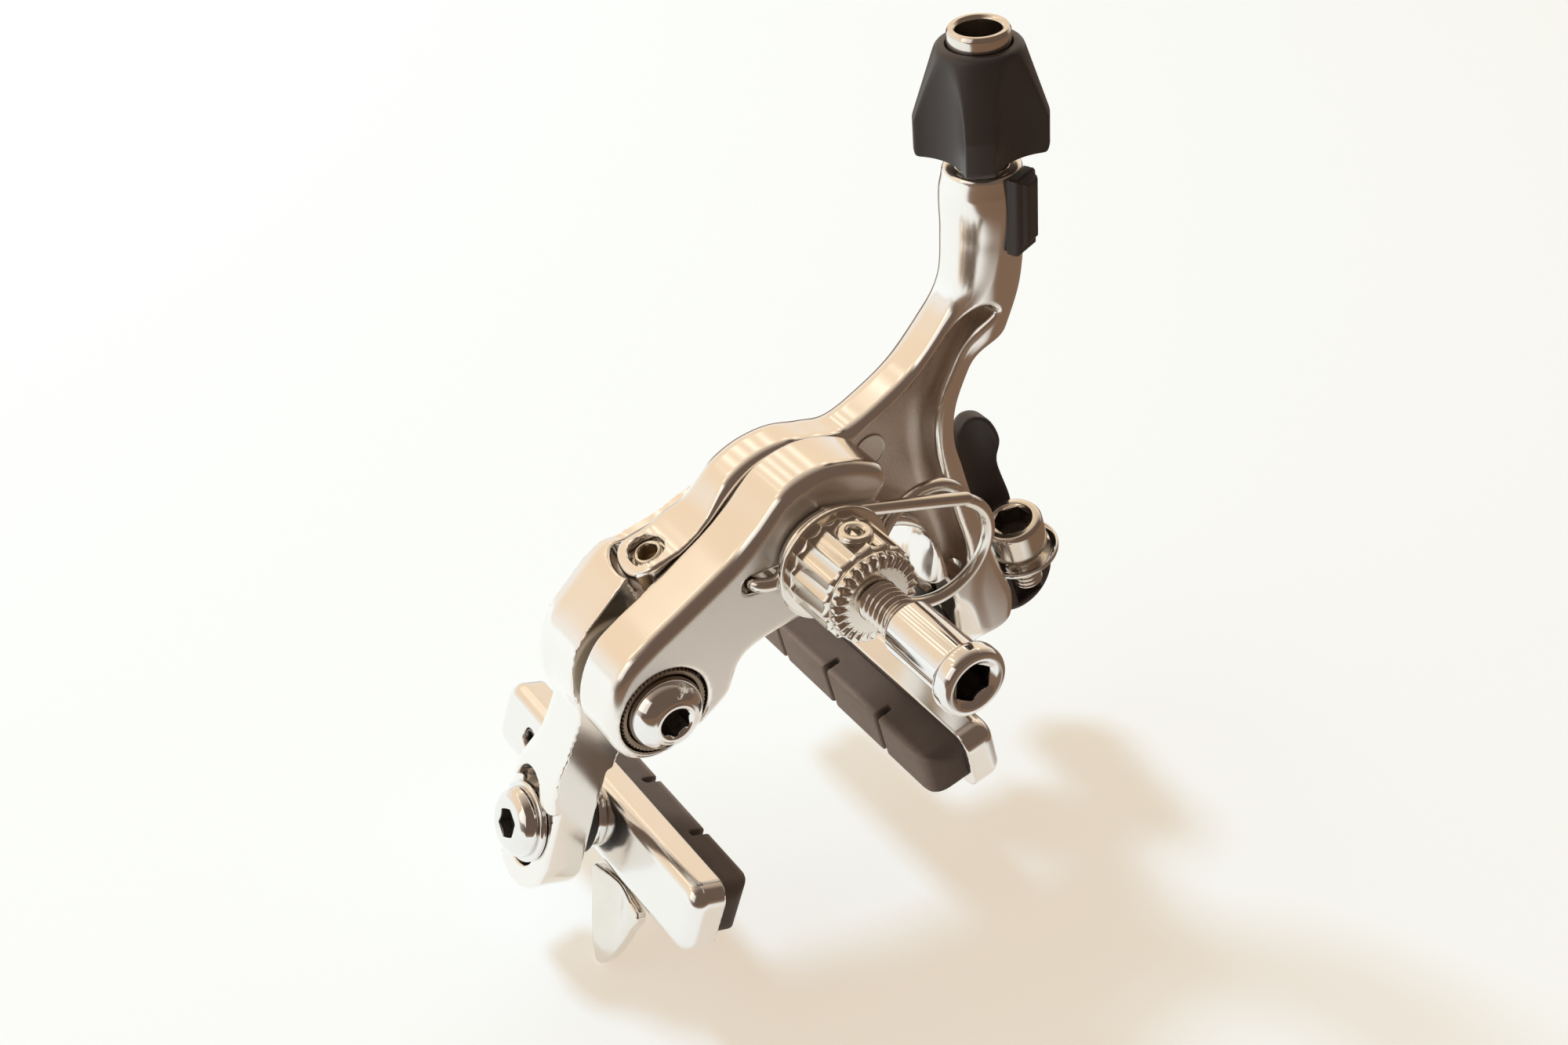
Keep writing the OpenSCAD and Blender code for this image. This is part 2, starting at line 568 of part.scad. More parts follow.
module adjuster_knob() {
    waist = 5.9;
    bore_r = tube_d / 2 + running_gap;
    scoop = 16;
    color("#2b2624") upright() translate([0, 0, knob_gap]) difference() {
        rotate_extrude() polygon([[bore_r, 0], [knob_w / 2 - 0.8, 0], [knob_w / 2, 1],
            [knob_top_d / 2 + 0.4, knob_h - 1.6], [knob_top_d / 2 - 0.6, knob_h], [bore_r, knob_h]]);
        for (k = [0 : 3]) rotate([0, 0, 90 * k + 20]) translate([scoop + waist, 0, -1])
            cylinder(r = scoop, h = knob_h - 2.4);
    }
}
// The pieces of a pad set, outside the leg and inside it
module pad_bolt(side) {
    inner = 1.6 - holder_t - (side > 0 ? left_pack : right_pack);
    head = leg_t + bolt_washer_t;
    color("silver") on_leg(side) difference() {
        turned_u([[0, inner], [pad_bolt_d / 2, inner], [pad_bolt_d / 2, head], [5.2, head], [5.2, head + 0.8],
            [4.6, head + 1.8], [3.4, head + 2.4], [0, head + 2.4]]);
        translate([head + 0.4, 0, 0]) rotate([0, 90, 0]) cylinder(d = 4 / cos(30), h = 6, $fn = 6);
    }
}
module bolt_washer(side) {
    color("silver") on_leg(side) difference() {
        bar_u(pad_washer_r, leg_t, leg_t + bolt_washer_t);
        bar_u(pad_bolt_d / 2 + fixed_gap, leg_t - 1, leg_t + bolt_washer_t + 1);
    }
}
module cup_washer(side) {
    pack = side > 0 ? left_pack : right_pack;
    color("dimgray") on_leg(side) difference() {
        bar_u(pad_washer_r, -pack / 2, inset(side));
        bar_u(pad_bolt_d / 2 + fixed_gap, -pack, inset(side) + 1);
    }
}
module ball_washer(side) {
    pack = side > 0 ? left_pack : right_pack;
    color("silver") on_leg(side) difference() {
        bar_u(pad_washer_r - 0.6, -pack, -pack / 2);
        bar_u(pad_bolt_d / 2 + fixed_gap, -pack - 1, 1);
    }
}
// A long shape with round ends, seen along the pad bolt
module stadium(len, high) {
    union() {
        translate([-len / 2 + high / 2, -high / 2]) square([len - high, high]);
        for (k = [-1, 1]) translate([k * (len - high) / 2, 0]) circle(high / 2);
    }
}
module along_u(from, to) {
    translate([from, 0, 0]) rotate([90, 0, 90]) linear_extrude(to - from) children();
}
holder_wall = 1.3;
rubber_in = 3;
screw_v = 8 - pad_len / 2;
guide_v = 10.5;
module holder(side) {
    pack = side > 0 ? left_pack : right_pack;
    color("silver") on_leg(side) translate([-pack - holder_t, 0, 0]) difference() {
        along_u(0, holder_t) stadium(pad_len + 2 * holder_wall, pad_h + 2 * holder_wall);
        along_u(-1, rubber_in) stadium(pad_len, pad_h);
        bar_u(pad_bolt_d / 2 + fixed_gap, 0, holder_t + 1);
        // Threaded hole for the screw that keeps the rubber in
        translate([rubber_in - 1, screw_v, 0]) bar_u(1.6 + fixed_gap, 0, holder_t + 1);
    }
}
module pad(side) {
    pack = side > 0 ? left_pack : right_pack;
    groove = 1.2;
    color("#4a4440") on_leg(side) translate([-pack - holder_t, 0, 0]) difference() {
        along_u(-rubber_out, rubber_in - fixed_gap) stadium(pad_len - 0.2, pad_h - 0.2);
        for (k = [-1, 0, 1]) translate([-rubber_out - 1, k * pad_len / 4 - groove / 2, -pad_h])
            cube([3.4, groove, 2 * pad_h]);
        bar_u(pad_bolt_d / 2 + 0.3, rubber_in - 1.8, rubber_in + 1);
    }
}
module pad_screw(side) {
    pack = side > 0 ? left_pack : right_pack;
    color("dimgray") on_leg(side) translate([-pack - holder_t + rubber_in, screw_v, 0]) difference() {
        bar_u(1.6, 0, holder_t - rubber_in - 0.3);
        translate([1, 0, 0]) rotate([0, 90, 0]) cylinder(d = 2 / cos(30), h = 4, $fn = 6);
    }
}
// Pointed guide under the holder, on the side away from the wheel
module guide(side) {
    pack = side > 0 ? left_pack : right_pack;
    thick = 1.8;
    // The rounded top edge rises to just under the holder
    top = -0.041 * guide_h - 0.05;
    color("silver") on_leg(side) translate([-pack - thick, guide_v, -pad_h / 2 - holder_wall])
        rotate([90, 0, 90]) linear_extrude(thick) polygon(smooth([[-6, top], [6, top], [5.6, -0.36 * guide_h],
            [3.4, -0.78 * guide_h], [0.6, -guide_h], [-2.2, -0.82 * guide_h], [-5, -0.38 * guide_h]], 4));
}
module right_pad_bolt() { pad_bolt(-1); }
module left_pad_bolt() { pad_bolt(1); }
module right_bolt_washer() { bolt_washer(-1); }
module left_bolt_washer() { bolt_washer(1); }
module right_cup_washer() { cup_washer(-1); }
module left_cup_washer() { cup_washer(1); }
module right_ball_washer() { ball_washer(-1); }
module left_ball_washer() { ball_washer(1); }
module right_holder() { holder(-1); }
module left_holder() { holder(1); }
module right_pad() { pad(-1); }
module left_pad() { pad(1); }
module right_pad_screw() { pad_screw(-1); }
module left_pad_screw() { pad_screw(1); }
module right_guide() { guide(-1); }
module left_guide() { guide(1); }
module c_arm() {
    color("whitesmoke") difference() {
        union() {
            difference() {
                along_y(shoulder_front, arm_y) polygon(shoulder_outline);
                // The finger of the inner arm swings in this notch
                bar_y(tip_at, tip_r + pass_gap, arch_y + layer_gap / 2, arm_y + 1);
            }
            along_y(shoulder_front, arch_y) polygon(root_outline);
            along_y(arch_front, arch_y) polygon(arch_outline);
            along_y(band_front, band_y) polygon(band_outline);
            intersection() {
                along_y(pad_y - leg_w, arm_y) polygon(shoulder_outline);
                leg_band(1, left_low, 12);
            }
        }
        bar_y(pivot, side_bush_d / 2, shoulder_front - 1, arm_y + 1);
        bar_y(pivot, side_nut_r + pass_gap, arch_front - 1, shoulder_front + side_nut_deep);
        bar_y(lever, lever_pin_d / 2, band_front - 1, band_y + 1);
        leg_cuts(1, left_low);
    }
}
module side_bush() {
    color("peru")
        ring_y(pivot, side_d / 2 + running_gap, side_bush_d / 2, shoulder_front + side_nut_deep, arm_y);
}
module lever_pin() {
    color("silver") union() {
        bar_y(lever, lever_pin_d / 2, band_front - 1.4, lever_back + 0.8);
        bar_y(lever, lever_pin_d / 2 + 1.2, band_front - 2.6, band_front - 0.1);
    }
}
module lever_clip() {
    color("dimgray")
        ring_y(lever, lever_pin_d / 2 + fixed_gap, lever_pin_d / 2 + 1.6, lever_back + 0.1, lever_back + 0.8);
}
module release_lever() {
    color("#2e2a29") difference() {
        union() {
            bar_y(lever, lever_r, lever_front, lever_back);
            along_y(lever_front, lever_front + 5) polygon(smooth([polar(lever, lever_r - 0.4, 150),
                lever + [-1.8, 7.8], lever + [-0.5, 12.9], lever + [2.6, 20.2], lever + [2.7, 24.8],
                lever + [5.4, 28.8], lever + [8.8, 29], lever + [10.4, 24.8], lever + [9.2, 16.8],
                lever + [7, 9], polar(lever, lever_r - 1, 30)]));
        }
        bar_y(lever, lever_pin_d / 2 + running_gap, lever_front - 1, lever_back + 1);
        // Flat that the cable clamp sits on, and the anchor bolt's hole
        at_anchor() translate([-12, -3.8, -clamp_t - 1]) cube([24, 12, 12]);
        at_anchor() translate([0, 0, -7]) cylinder(d = anchor_d + 2 * fixed_gap, h = 12);
        at_anchor() tongue(fixed_gap);
    }
}
// The clamp's sloping tongue, also cut out of the lever with some room
module tongue(room) {
    translate([-2, 0, -clamp_t - 1]) rotate([0, -40, 0])
        translate([-8 - room, -3 - room, -room]) cube([8 + room, 6 + 2 * room, clamp_t + 2 * room]);
}
module clamp_plate() {
    color("silver") at_anchor() difference() {
        union() {
            translate([0, 0, -clamp_t - 1]) cylinder(d = 7.4, h = clamp_t);
            tongue(0);
        }
        translate([0, 0, -8]) cylinder(d = anchor_d + 2 * fixed_gap, h = 12);
    }
}
module anchor_bolt() {
    color("silver") at_anchor() difference() {
        union() {
            translate([0, 0, -1]) cylinder(d = anchor_head_d, h = 5.6);
            translate([0, 0, -6]) cylinder(d = anchor_d, h = 6);
        }
        translate([0, 0, 1]) cylinder(d = 6 / cos(30), h = 6, $fn = 6);
    }
}

bridge_plate();
centre_bolt();
sleeve_nut();
serrated_washer();
collar();
collar_screw();
centre_washer();
front_washer();
lock_nut();
side_bolt();
side_ring();
side_washer();
side_nut();
return_spring();
y_arm();
centre_bush();
barrel_clip();
centring_screw();
adjuster_tube();
adjuster_knob();
right_pad_bolt();
right_bolt_washer();
right_cup_washer();
right_ball_washer();
right_holder();
right_pad();
right_pad_screw();
right_guide();
c_arm();
side_bush();
left_pad_bolt();
left_bolt_washer();
left_cup_washer();
left_ball_washer();
left_holder();
left_pad();
left_pad_screw();
left_guide();
lever_pin();
lever_clip();
release_lever();
anchor_bolt();
clamp_plate();
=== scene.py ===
# %% [markdown]
# # A dual-pivot rim brake caliper
# This lesson dresses a imported CAD caliper for a studio picture. model.glb brings the CAD nodes and
# their true sizes. Each visible piece is then worked out again with numpy as a smooth surface, because a
# polished
# forging shows every facet and every missing radius. All lengths below are millimetres until `put` stores
# them.

# %% Load the CAD model
import itertools

import bpy
import numpy as np
from mathutils import Matrix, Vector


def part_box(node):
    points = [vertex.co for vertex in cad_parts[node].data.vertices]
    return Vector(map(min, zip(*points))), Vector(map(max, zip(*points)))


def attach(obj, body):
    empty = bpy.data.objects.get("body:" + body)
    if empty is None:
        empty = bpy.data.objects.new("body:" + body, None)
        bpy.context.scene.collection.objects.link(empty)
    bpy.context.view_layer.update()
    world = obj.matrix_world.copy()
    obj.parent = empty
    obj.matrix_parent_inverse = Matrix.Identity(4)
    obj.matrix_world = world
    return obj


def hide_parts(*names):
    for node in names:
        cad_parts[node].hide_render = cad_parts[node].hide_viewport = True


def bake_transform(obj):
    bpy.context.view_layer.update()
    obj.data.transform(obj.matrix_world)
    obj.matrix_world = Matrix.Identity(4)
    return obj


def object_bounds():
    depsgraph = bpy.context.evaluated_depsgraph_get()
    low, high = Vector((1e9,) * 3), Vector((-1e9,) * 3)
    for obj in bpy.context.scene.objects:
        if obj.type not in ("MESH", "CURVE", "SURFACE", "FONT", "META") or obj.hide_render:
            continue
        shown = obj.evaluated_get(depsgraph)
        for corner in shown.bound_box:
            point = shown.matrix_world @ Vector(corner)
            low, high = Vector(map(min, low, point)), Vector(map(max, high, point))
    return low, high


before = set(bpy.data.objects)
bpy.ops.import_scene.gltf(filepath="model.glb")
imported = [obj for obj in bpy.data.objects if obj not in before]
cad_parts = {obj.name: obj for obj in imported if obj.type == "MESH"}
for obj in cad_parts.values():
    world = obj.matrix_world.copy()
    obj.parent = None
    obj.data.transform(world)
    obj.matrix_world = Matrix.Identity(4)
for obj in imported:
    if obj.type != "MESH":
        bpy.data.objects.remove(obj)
cad_box = [list(map(float, corner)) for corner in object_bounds()]
print("CAD box in metres", cad_box, "with", len(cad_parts), "nodes")

# %% [markdown]
# ## Camera
# The picture looks down on the back of the caliper from the side-pivot side. A camera can be aimed with a
# constraint or an angle, but a plain matrix of its three directions is exact, so the fitted view is written
# so.

# %% Camera
camera = bpy.data.objects.new("camera", bpy.data.cameras.new("camera"))
bpy.context.scene.collection.objects.link(camera)
camera.data.lens, camera.data.sensor_width, camera.data.clip_start = 48.09, 36, 0.005
sight = np.eye(4)
sight[:3, 0] = (-0.838, 0.546, 0.0135)
sight[:3, 1] = (-0.295, -0.473, 0.831)
sight[:3, 2] = (0.460, 0.692, 0.557)
sight[:3, 3] = np.array((133.36, 178.1, 160.99)) / 1000
camera.matrix_world = Matrix(sight.tolist())
bpy.context.scene.camera = camera
print("camera at", camera.location[:])

# %% [markdown]
# ## Writing a finish
# Every finish is a node material. Wiring nodes by hand is slow to read, so one class wraps a socket: sums
# and products of it add Math nodes, and a finish is then written as the formula that it is.

# %% Shader formulas
class Field:
    """A number, colour or vector that changes over a surface; arithmetic on it adds Math nodes."""

    def __init__(self, finish, socket):
        self.finish, self.socket = finish, socket

    def maths(self, kind, *values):
        return self.finish.add("ShaderNodeMath", {"operation": kind}, dict(enumerate(values)))

    def __add__(self, other): return self.maths("ADD", self, other)
    def __sub__(self, other): return self.maths("SUBTRACT", self, other)
    def __rsub__(self, other): return self.maths("SUBTRACT", other, self)
    def __mul__(self, other): return self.maths("MULTIPLY", self, other)
    __radd__, __rmul__ = __add__, __mul__

    def between(self, low, high):
        """0 below low, 1 above high, and an even climb between them."""
        return self.finish.add("ShaderNodeMapRange", {"clamp": True}, {0: self, 1: low, 2: high})


class Finish:
    """A material with one Principled shader, and the nodes that feed it."""

    def __init__(self, name, **constants):
        self.material = bpy.data.materials.new(name)
        self.material.use_nodes = True
        self.nodes, self.links = self.material.node_tree.nodes, self.material.node_tree.links
        self.shader = self.nodes["Principled BSDF"]
        self.feed(**constants)

    def add(self, kind, settings=None, sockets=None, out=0):
        """Any node: its settings first, then values or links for its sockets, by name or number."""
        node = self.nodes.new(kind)
        for key, value in (settings or {}).items():
            setattr(node, key, value)
        for key, value in (sockets or {}).items():
            if isinstance(value, Field):
                self.links.new(value.socket, node.inputs[key])
            else:
                node.inputs[key].default_value = value
        return Field(self, node.outputs[out])

    def feed(self, **sockets):
        """Values or fields for the shader's own sockets; base_color stands for Base Color, and so on."""
        for key, value in sockets.items():
            socket = self.shader.inputs[key.replace("_", " ").title().replace("Ior", "IOR")]
            if isinstance(value, Field):
                self.links.new(value.socket, socket)
            else:
                socket.default_value = value
        return self

    def place(self):
        """Object coordinates in millimetres."""
        spot = self.add("ShaderNodeTexCoord", out=3)
        return self.add("ShaderNodeVectorMath", {"operation": "MULTIPLY"}, {0: spot, 1: (1000,) * 3})

    def noise(self, size, detail=3):
        """Cloudy noise from 0 to 1, with clouds about size millimetres across."""
        sockets = {"Vector": self.place(), "Scale": 1 / size, "Detail": detail}
        return self.add("ShaderNodeTexNoise", None, sockets)

    def mark(self, name):
        """A number that the mesh carries at its points."""
        return self.add("ShaderNodeAttribute", {"attribute_name": name}, out=2)

    def tint(self, share, first, second):
        """A colour that goes from first to second with share."""
        settings = {"data_type": "RGBA"}
        colours = {key: value if isinstance(value, Field) else (*value, 1)
                   for key, value in ((6, first), (7, second))}
        return self.add("ShaderNodeMix", settings, {0: share, **colours}, out=2)

    def rough(self, height, depth, strength=1.0):
        """Bump: height from 0 to 1 stands for depth millimetres."""
        sockets = {"Height": height, "Distance": depth / 1000, "Strength": strength}
        return self.feed(normal=self.add("ShaderNodeBump", None, sockets))


print("finishes are written as formulas of", Field.__name__)

# %% [markdown]
# ## Metal finishes
# The arms are forged aluminium, polished on a wheel: bright, with soft broad reflections, and grey and
# grainy in the hollow that the wheel can't reach. A flat colour would look like paint, so polish and grain
# vary, and a mark on the mesh says where the hollow is.

# %% Polished arms and satin plate
def polished(name, bright, sheen):
    """Polished metal: roughness follows a slow cloud and a fine one. The cast mark turns it dull and
    grainy, and the satin mark blasts it evenly matt."""
    finish = Finish(name, metallic=1.0)
    cast, satin = finish.mark("cast"), finish.mark("satin")
    cloud, fine, grain = finish.noise(9), finish.noise(1.1, 4), finish.noise(0.45, 4)
    colour = finish.tint(cloud, tuple(0.96 * c for c in bright), bright)
    dull = finish.tint(grain, (0.60, 0.515, 0.45), (0.80, 0.70, 0.62))
    finish.feed(base_color=finish.tint(cast, colour, dull))
    smooth_part = sheen + 0.06 * cloud + 0.04 * fine + satin * (0.26 + 0.08 * grain)
    finish.feed(roughness=smooth_part * (1 - cast) + (0.40 + 0.2 * grain) * cast)
    return finish.rough(fine * (1 - cast) * 0.05 + grain * (cast + 0.25 * satin), 0.06, 0.6)


POLISHED = polished("polished_aluminium", (0.90, 0.865, 0.82), 0.12)
SATIN = polished("satin_aluminium", (0.89, 0.85, 0.80), 0.12)
print(POLISHED.material.name, "and", SATIN.material.name)

# %% [markdown]
# Bolts and nuts are plated: chrome is nearly a mirror, nickel is yellower and softer, and the pad screws
# and the hidden nuts are blackened steel. The same formula serves them all, with its own colour, polish and
# depth of tool marks.

# %% Plated steel
def plated(name, dark, bright, low, high, depth=0.0, grain=0.8, painted_socket_shade=(0.045, 0.032, 0.024)):
    """Plated steel: colour and roughness share one cloud, and fine turning marks give the bump. The deep
    mark is the inside of a socket: its colour is painted shade, near black, and its plating is rougher."""
    finish = Finish(name, metallic=1.0)
    deep, cloud, fine = finish.mark("deep"), finish.noise(5, 3), finish.noise(grain, 4)
    # inside a socket the colour turns to a near-black painted shade
    finish.feed(base_color=finish.tint(deep, finish.tint(cloud * 0.6 + fine * 0.4, dark, bright), painted_socket_shade))
    finish.feed(roughness=low + (high - low) * (0.5 * cloud + 0.5 * fine) + 0.3 * deep)
    return finish.rough(fine, depth, 0.5) if depth else finish


CHROME = plated("chrome", (0.78, 0.76, 0.73), (0.86, 0.84, 0.82), 0.04, 0.14)
NICKEL = plated("nickel", (0.72, 0.67, 0.60), (0.84, 0.795, 0.73), 0.08, 0.22, 0.01)
DARK_STEEL = plated("dark_steel", (0.16, 0.135, 0.12), (0.30, 0.26, 0.23), 0.22, 0.5, 0.02)
HOLDER = plated("holder_aluminium", (0.83, 0.80, 0.765), (0.88, 0.855, 0.825), 0.10, 0.22)
SPRING = plated("spring_steel", (0.76, 0.72, 0.66), (0.86, 0.82, 0.77), 0.10, 0.24, 0.008)
BRONZE = plated("bronze", (0.50, 0.33, 0.17), (0.70, 0.49, 0.27), 0.30, 0.5, 0.02)
# the last colour is the painted shade inside the centring screw's socket
BRASS_SCREW = plated("centring_screw_steel", (0.74, 0.68, 0.58), (0.86, 0.81, 0.72), 0.14, 0.3, 0.01, 0.8,
                     (0.30, 0.20, 0.08))
RING_STEEL = plated("knurled_steel", (0.26, 0.20, 0.15), (0.44, 0.35, 0.27), 0.35, 0.6, 0.04, 0.5)
STAMPED = plated("stamped_steel", (0.66, 0.60, 0.53), (0.78, 0.72, 0.65), 0.32, 0.5, 0.02)
print("nine plated and drawn metals")

# %% [markdown]
# The knob, clip and lever are moulded plastic, nearly black with a brown cast, and the pads are rubber,
# dusty on the faces that rub the rim. Both are matt, so their fine grain matters more than their colour.

# %% Plastic and rubber
def moulded(name, dark, light, low, high, grain, depth):
    """Moulded plastic: a fine grain in the bump, and a slow cloud in the colour and roughness."""
    finish = Finish(name, specular_ior_level=0.42)
    cloud, fine = finish.noise(7, 3), finish.noise(grain, 3)
    finish.feed(base_color=finish.tint(cloud, dark, light), roughness=low + (high - low) * cloud)
    return finish.rough(fine, depth, 0.7)


PLASTIC = moulded("dark_plastic", (0.046, 0.037, 0.036), (0.066, 0.055, 0.053), 0.34, 0.46, 0.35, 0.02)
WASHER_PLASTIC = moulded("washer_plastic", (0.05, 0.046, 0.043), (0.08, 0.074, 0.07), 0.45, 0.6, 0.4, 0.02)
NYLON = moulded("white_nylon", (0.70, 0.66, 0.58), (0.80, 0.77, 0.70), 0.4, 0.55, 0.5, 0.01)

RUBBER = Finish("rubber", specular_ior_level=0.35)
dust, fleck, cloud = RUBBER.mark("dust"), RUBBER.noise(0.5, 4), RUBBER.noise(4, 3)
clean = RUBBER.tint(cloud, (0.12, 0.094, 0.084), (0.17, 0.138, 0.122))
dusty = RUBBER.tint(fleck, (0.28, 0.225, 0.195), (0.44, 0.37, 0.33))
worn = RUBBER.tint(dust * (0.55 + 0.45 * cloud), clean, dusty)
RUBBER.feed(base_color=worn, roughness=0.62 + 0.2 * fleck)
RUBBER.rough(fleck, 0.05, 0.7)
print("plastic, nylon and rubber")

# %% [markdown]
# ## Putting a surface into the scene
# A surface reaches Blender as arrays: points, faces, and numbers at the points. `put` stores them in one
# go, smooths the shading up to a crease angle, hides the CAD nodes that the piece stands for and parents
# it to the empty of the body that carries it.

# %% From arrays to a piece
def outward(points, faces):
    """Turns the faces round where the volume that they enclose, summed over all faces, is negative."""
    volume = sum((points[f[:, 0]] * np.cross(points[f[:, k]], points[f[:, k + 1]])).sum()
                 for f in faces for k in range(1, f.shape[1] - 1))
    return [f[:, ::-1] for f in faces] if volume < 0 else faces


def put(name, surface, body, finish, nodes=(), marks=None, crease=38):
    """Stores (points in mm, faces, normals or None) as a mesh in metres, hides its CAD nodes and parents it
    to its body.
    """
    points, faces, normals = surface
    faces = outward(points, faces)
    mesh = bpy.data.meshes.new(name)
    corners = np.concatenate([f.ravel() for f in faces]).astype(np.int32)
    sizes = np.concatenate([np.full(len(f), f.shape[1]) for f in faces])
    mesh.vertices.add(len(points))
    mesh.vertices.foreach_set("co", (points * 0.001).astype(np.float32).ravel())
    mesh.loops.add(len(corners))
    mesh.loops.foreach_set("vertex_index", corners)
    mesh.polygons.add(len(sizes))
    mesh.polygons.foreach_set("loop_start", (np.cumsum(sizes) - sizes).astype(np.int32))
    mesh.update(calc_edges=True)
    mesh.validate()
    mesh.shade_smooth()
    if normals is None:
        mesh.set_sharp_from_angle(angle=np.radians(crease))
    else:
        mesh.normals_split_custom_set_from_vertices(normals.tolist())
    for key, value in (marks or {}).items():
        mesh.attributes.new(key, "FLOAT", "POINT").data.foreach_set("value", value.astype(np.float32))
    mesh.materials.append(finish.material)
    piece = bpy.data.objects.new(name, mesh)
    bpy.context.scene.collection.objects.link(piece)
    if nodes:
        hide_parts(*nodes)
    if body:
        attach(piece, body)
    low, high = points.min(0), points.max(0)
    print(f"{name}: {len(points)} points, {np.round(high - low, 1)} mm")
    return piece


# %% [markdown]
# ## Turned pieces
# Bolts, nuts and washers come off a lathe. A profile of radius and place is carried round an axis, which is
# a surface of two parameters, the way along the profile and the angle. A ripple added to the radius gives
# flutes, teeth and hexagon sockets in the same sweep, so they need no boolean cuts.

# %% Profiles and axes
def axis(origin, along, side):
    """A lathe's axis: its origin, its direction and the two directions across it."""
    along = np.array(along, float) / np.linalg.norm(along)
    side = np.array(side, float) - np.dot(side, along) * along
    side /= np.linalg.norm(side)
    return np.array(origin, float), along, side, np.cross(along, side)


def soften(profile, radius, closed=True, steps=5):
    """Rounds each corner of a profile with a short quadratic arc, cut back by radius where there is room.
    An open profile keeps its two ends."""
    p = np.array(profile, float)
    before, after = np.roll(p, 1, 0), np.roll(p, -1, 0)
    back, on = np.hypot(*(p - before)[:, :2].T), np.hypot(*(after - p)[:, :2].T)
    cut = np.minimum(radius, 0.45 * np.minimum(back, on))[:, None]
    a = p + (before - p) * cut / np.maximum(back, 1e-9)[:, None]
    b = p + (after - p) * cut / np.maximum(on, 1e-9)[:, None]
    t = np.linspace(0, 1, steps)[None, :, None]
    arcs = (1 - t) ** 2 * a[:, None] + 2 * t * (1 - t) * p[:, None] + t ** 2 * b[:, None]
    if closed:
        return arcs.reshape(-1, p.shape[1])
    return np.vstack([p[:1], arcs[1:-1].reshape(-1, p.shape[1]), p[-1:]])


def hexagon(turn, radius):
    """How far a hexagon of that half width stands out of its inner circle: r (1 / cos of the nearest flat -
    1)."""
    return radius * (1 / np.cos((turn + np.pi / 6) % (np.pi / 3) - np.pi / 6) - 1)


def skin(grid, closed):
    """Quads over a grid of rows and columns, closed around; open ends are fanned to their centres."""
    rows, columns = grid.shape[:2]
    index = np.arange(rows * columns).reshape(rows, columns)
    beside = np.roll(index, -1, 1)
    above, corner = np.roll(index, -1, 0), np.roll(beside, -1, 0)
    last = rows if closed else rows - 1
    faces = [np.stack([index, beside, corner, above], -1)[:last].reshape(-1, 4)]
    points = grid.reshape(-1, 3)
    if not closed:
        points = np.vstack([points, grid[0].mean(0), grid[-1].mean(0)])
        ends = np.full(columns, rows * columns)
        faces.append(np.stack([beside[0], index[0], ends], -1))
        faces.append(np.stack([index[-1], beside[-1], ends + 1], -1))
    return points, faces, None


def rings(about, place, radius, turn):
    """Points round an axis: origin + place x along + radius x (cos turn x side + sin turn x across)."""
    origin, along, side, across = about
    out = np.cos(turn)[:, None] * side + np.sin(turn)[:, None] * across
    return origin + place[..., None] * along + radius[..., None] * out


def lathe(profile, about, ripple=None, columns=96, closed=False):
    """Each profile row is radius, place along the axis and ripple share; the ring's radius at an angle is
    radius + share x ripple(angle, radius)."""
    rows = np.array(profile, float)
    if rows.shape[1] == 2:
        rows = np.column_stack([rows, np.zeros(len(rows))])
    turn = np.linspace(0, 2 * np.pi, columns, endpoint=False)
    radius = rows[:, :1] + (rows[:, 2:] * ripple(turn[None], rows[:, :1]) if ripple else 0 * turn)
    return skin(rings(about, rows[:, 1:2], radius, turn), closed)


CENTRE = axis((0, 0, 0), (0, 1, 0), (1, 0, 0))
PIVOT = axis((24.6, 0, -17.4), (0, 1, 0), (1, 0, 0))
LEVER = axis((-50.8, 0, -33.3), (0, 1, 0), (1, 0, 0))
LEAN = np.radians(6.4)
BARREL = axis((-32.4, -24.7, 44.9), (np.sin(LEAN), 0, np.cos(LEAN)), (np.cos(LEAN), 0, -np.sin(LEAN)))
SCREW = axis((18.8, -27, -2), (np.sin(np.radians(24)), 0, np.cos(np.radians(24))), (1, 0, 0))
ANCHOR = axis((-48.2, -28.8, -24.3), (np.sin(np.radians(20)), 0, np.cos(np.radians(20))), (1, 0, 0))
PAD_LEAN, LEG_X, PAD_Y, DROP = np.radians(16.5), 31.2, -31.5, {1: 46, -1: 37}
BOLT = {s: axis((s * LEG_X, PAD_Y, -DROP[s]), (s * np.cos(PAD_LEAN), 0, np.sin(PAD_LEAN)), (0, 1, 0))
        for s in (1, -1)}
print("lathe axes ready; pad bolts lean", round(np.degrees(PAD_LEAN), 1), "degrees")

# %% [markdown]
# Most of the bolts have a hexagon socket. One helper adds it to a turned head: the profile runs up to the
# socket's rim, and the same sweep then goes down the six flats to the bottom. Two more put a finished ring
# or bolt into the scene in place of its CAD node.

# %% Socket heads
def socket_head(rows, flats, deep, about, fillet=0.2, columns=120):
    """A turned piece whose open profile ends at a hexagon socket's rim. It goes on down the socket's flats
    and across the bottom. Also gives the deep mark for the painted shade: 0 outside the socket, 1 below its
    rim."""
    outer = soften(rows, fillet, False)
    outer = np.column_stack([outer, np.zeros(len(outer))])
    top = rows[-1][1]
    down = np.linspace(0.35, deep, 5)
    walls = np.column_stack([np.full(5, flats / 2), top - down, np.ones(5)])
    inner = np.vstack([[flats / 2 + 0.12, top - 0.12, 0.7], walls, [flats / 4, top - deep - 0.1, 0.4],
                       [0.05, top - deep - 0.2, 0]])
    surface = lathe(np.vstack([outer, inner]), about, hexagon, columns)
    ring = np.repeat(np.concatenate([np.zeros(len(outer) + 1), np.linspace(0.4, 1, 7)]), columns)
    return surface, {"deep": np.concatenate([ring, [0, 1]])}


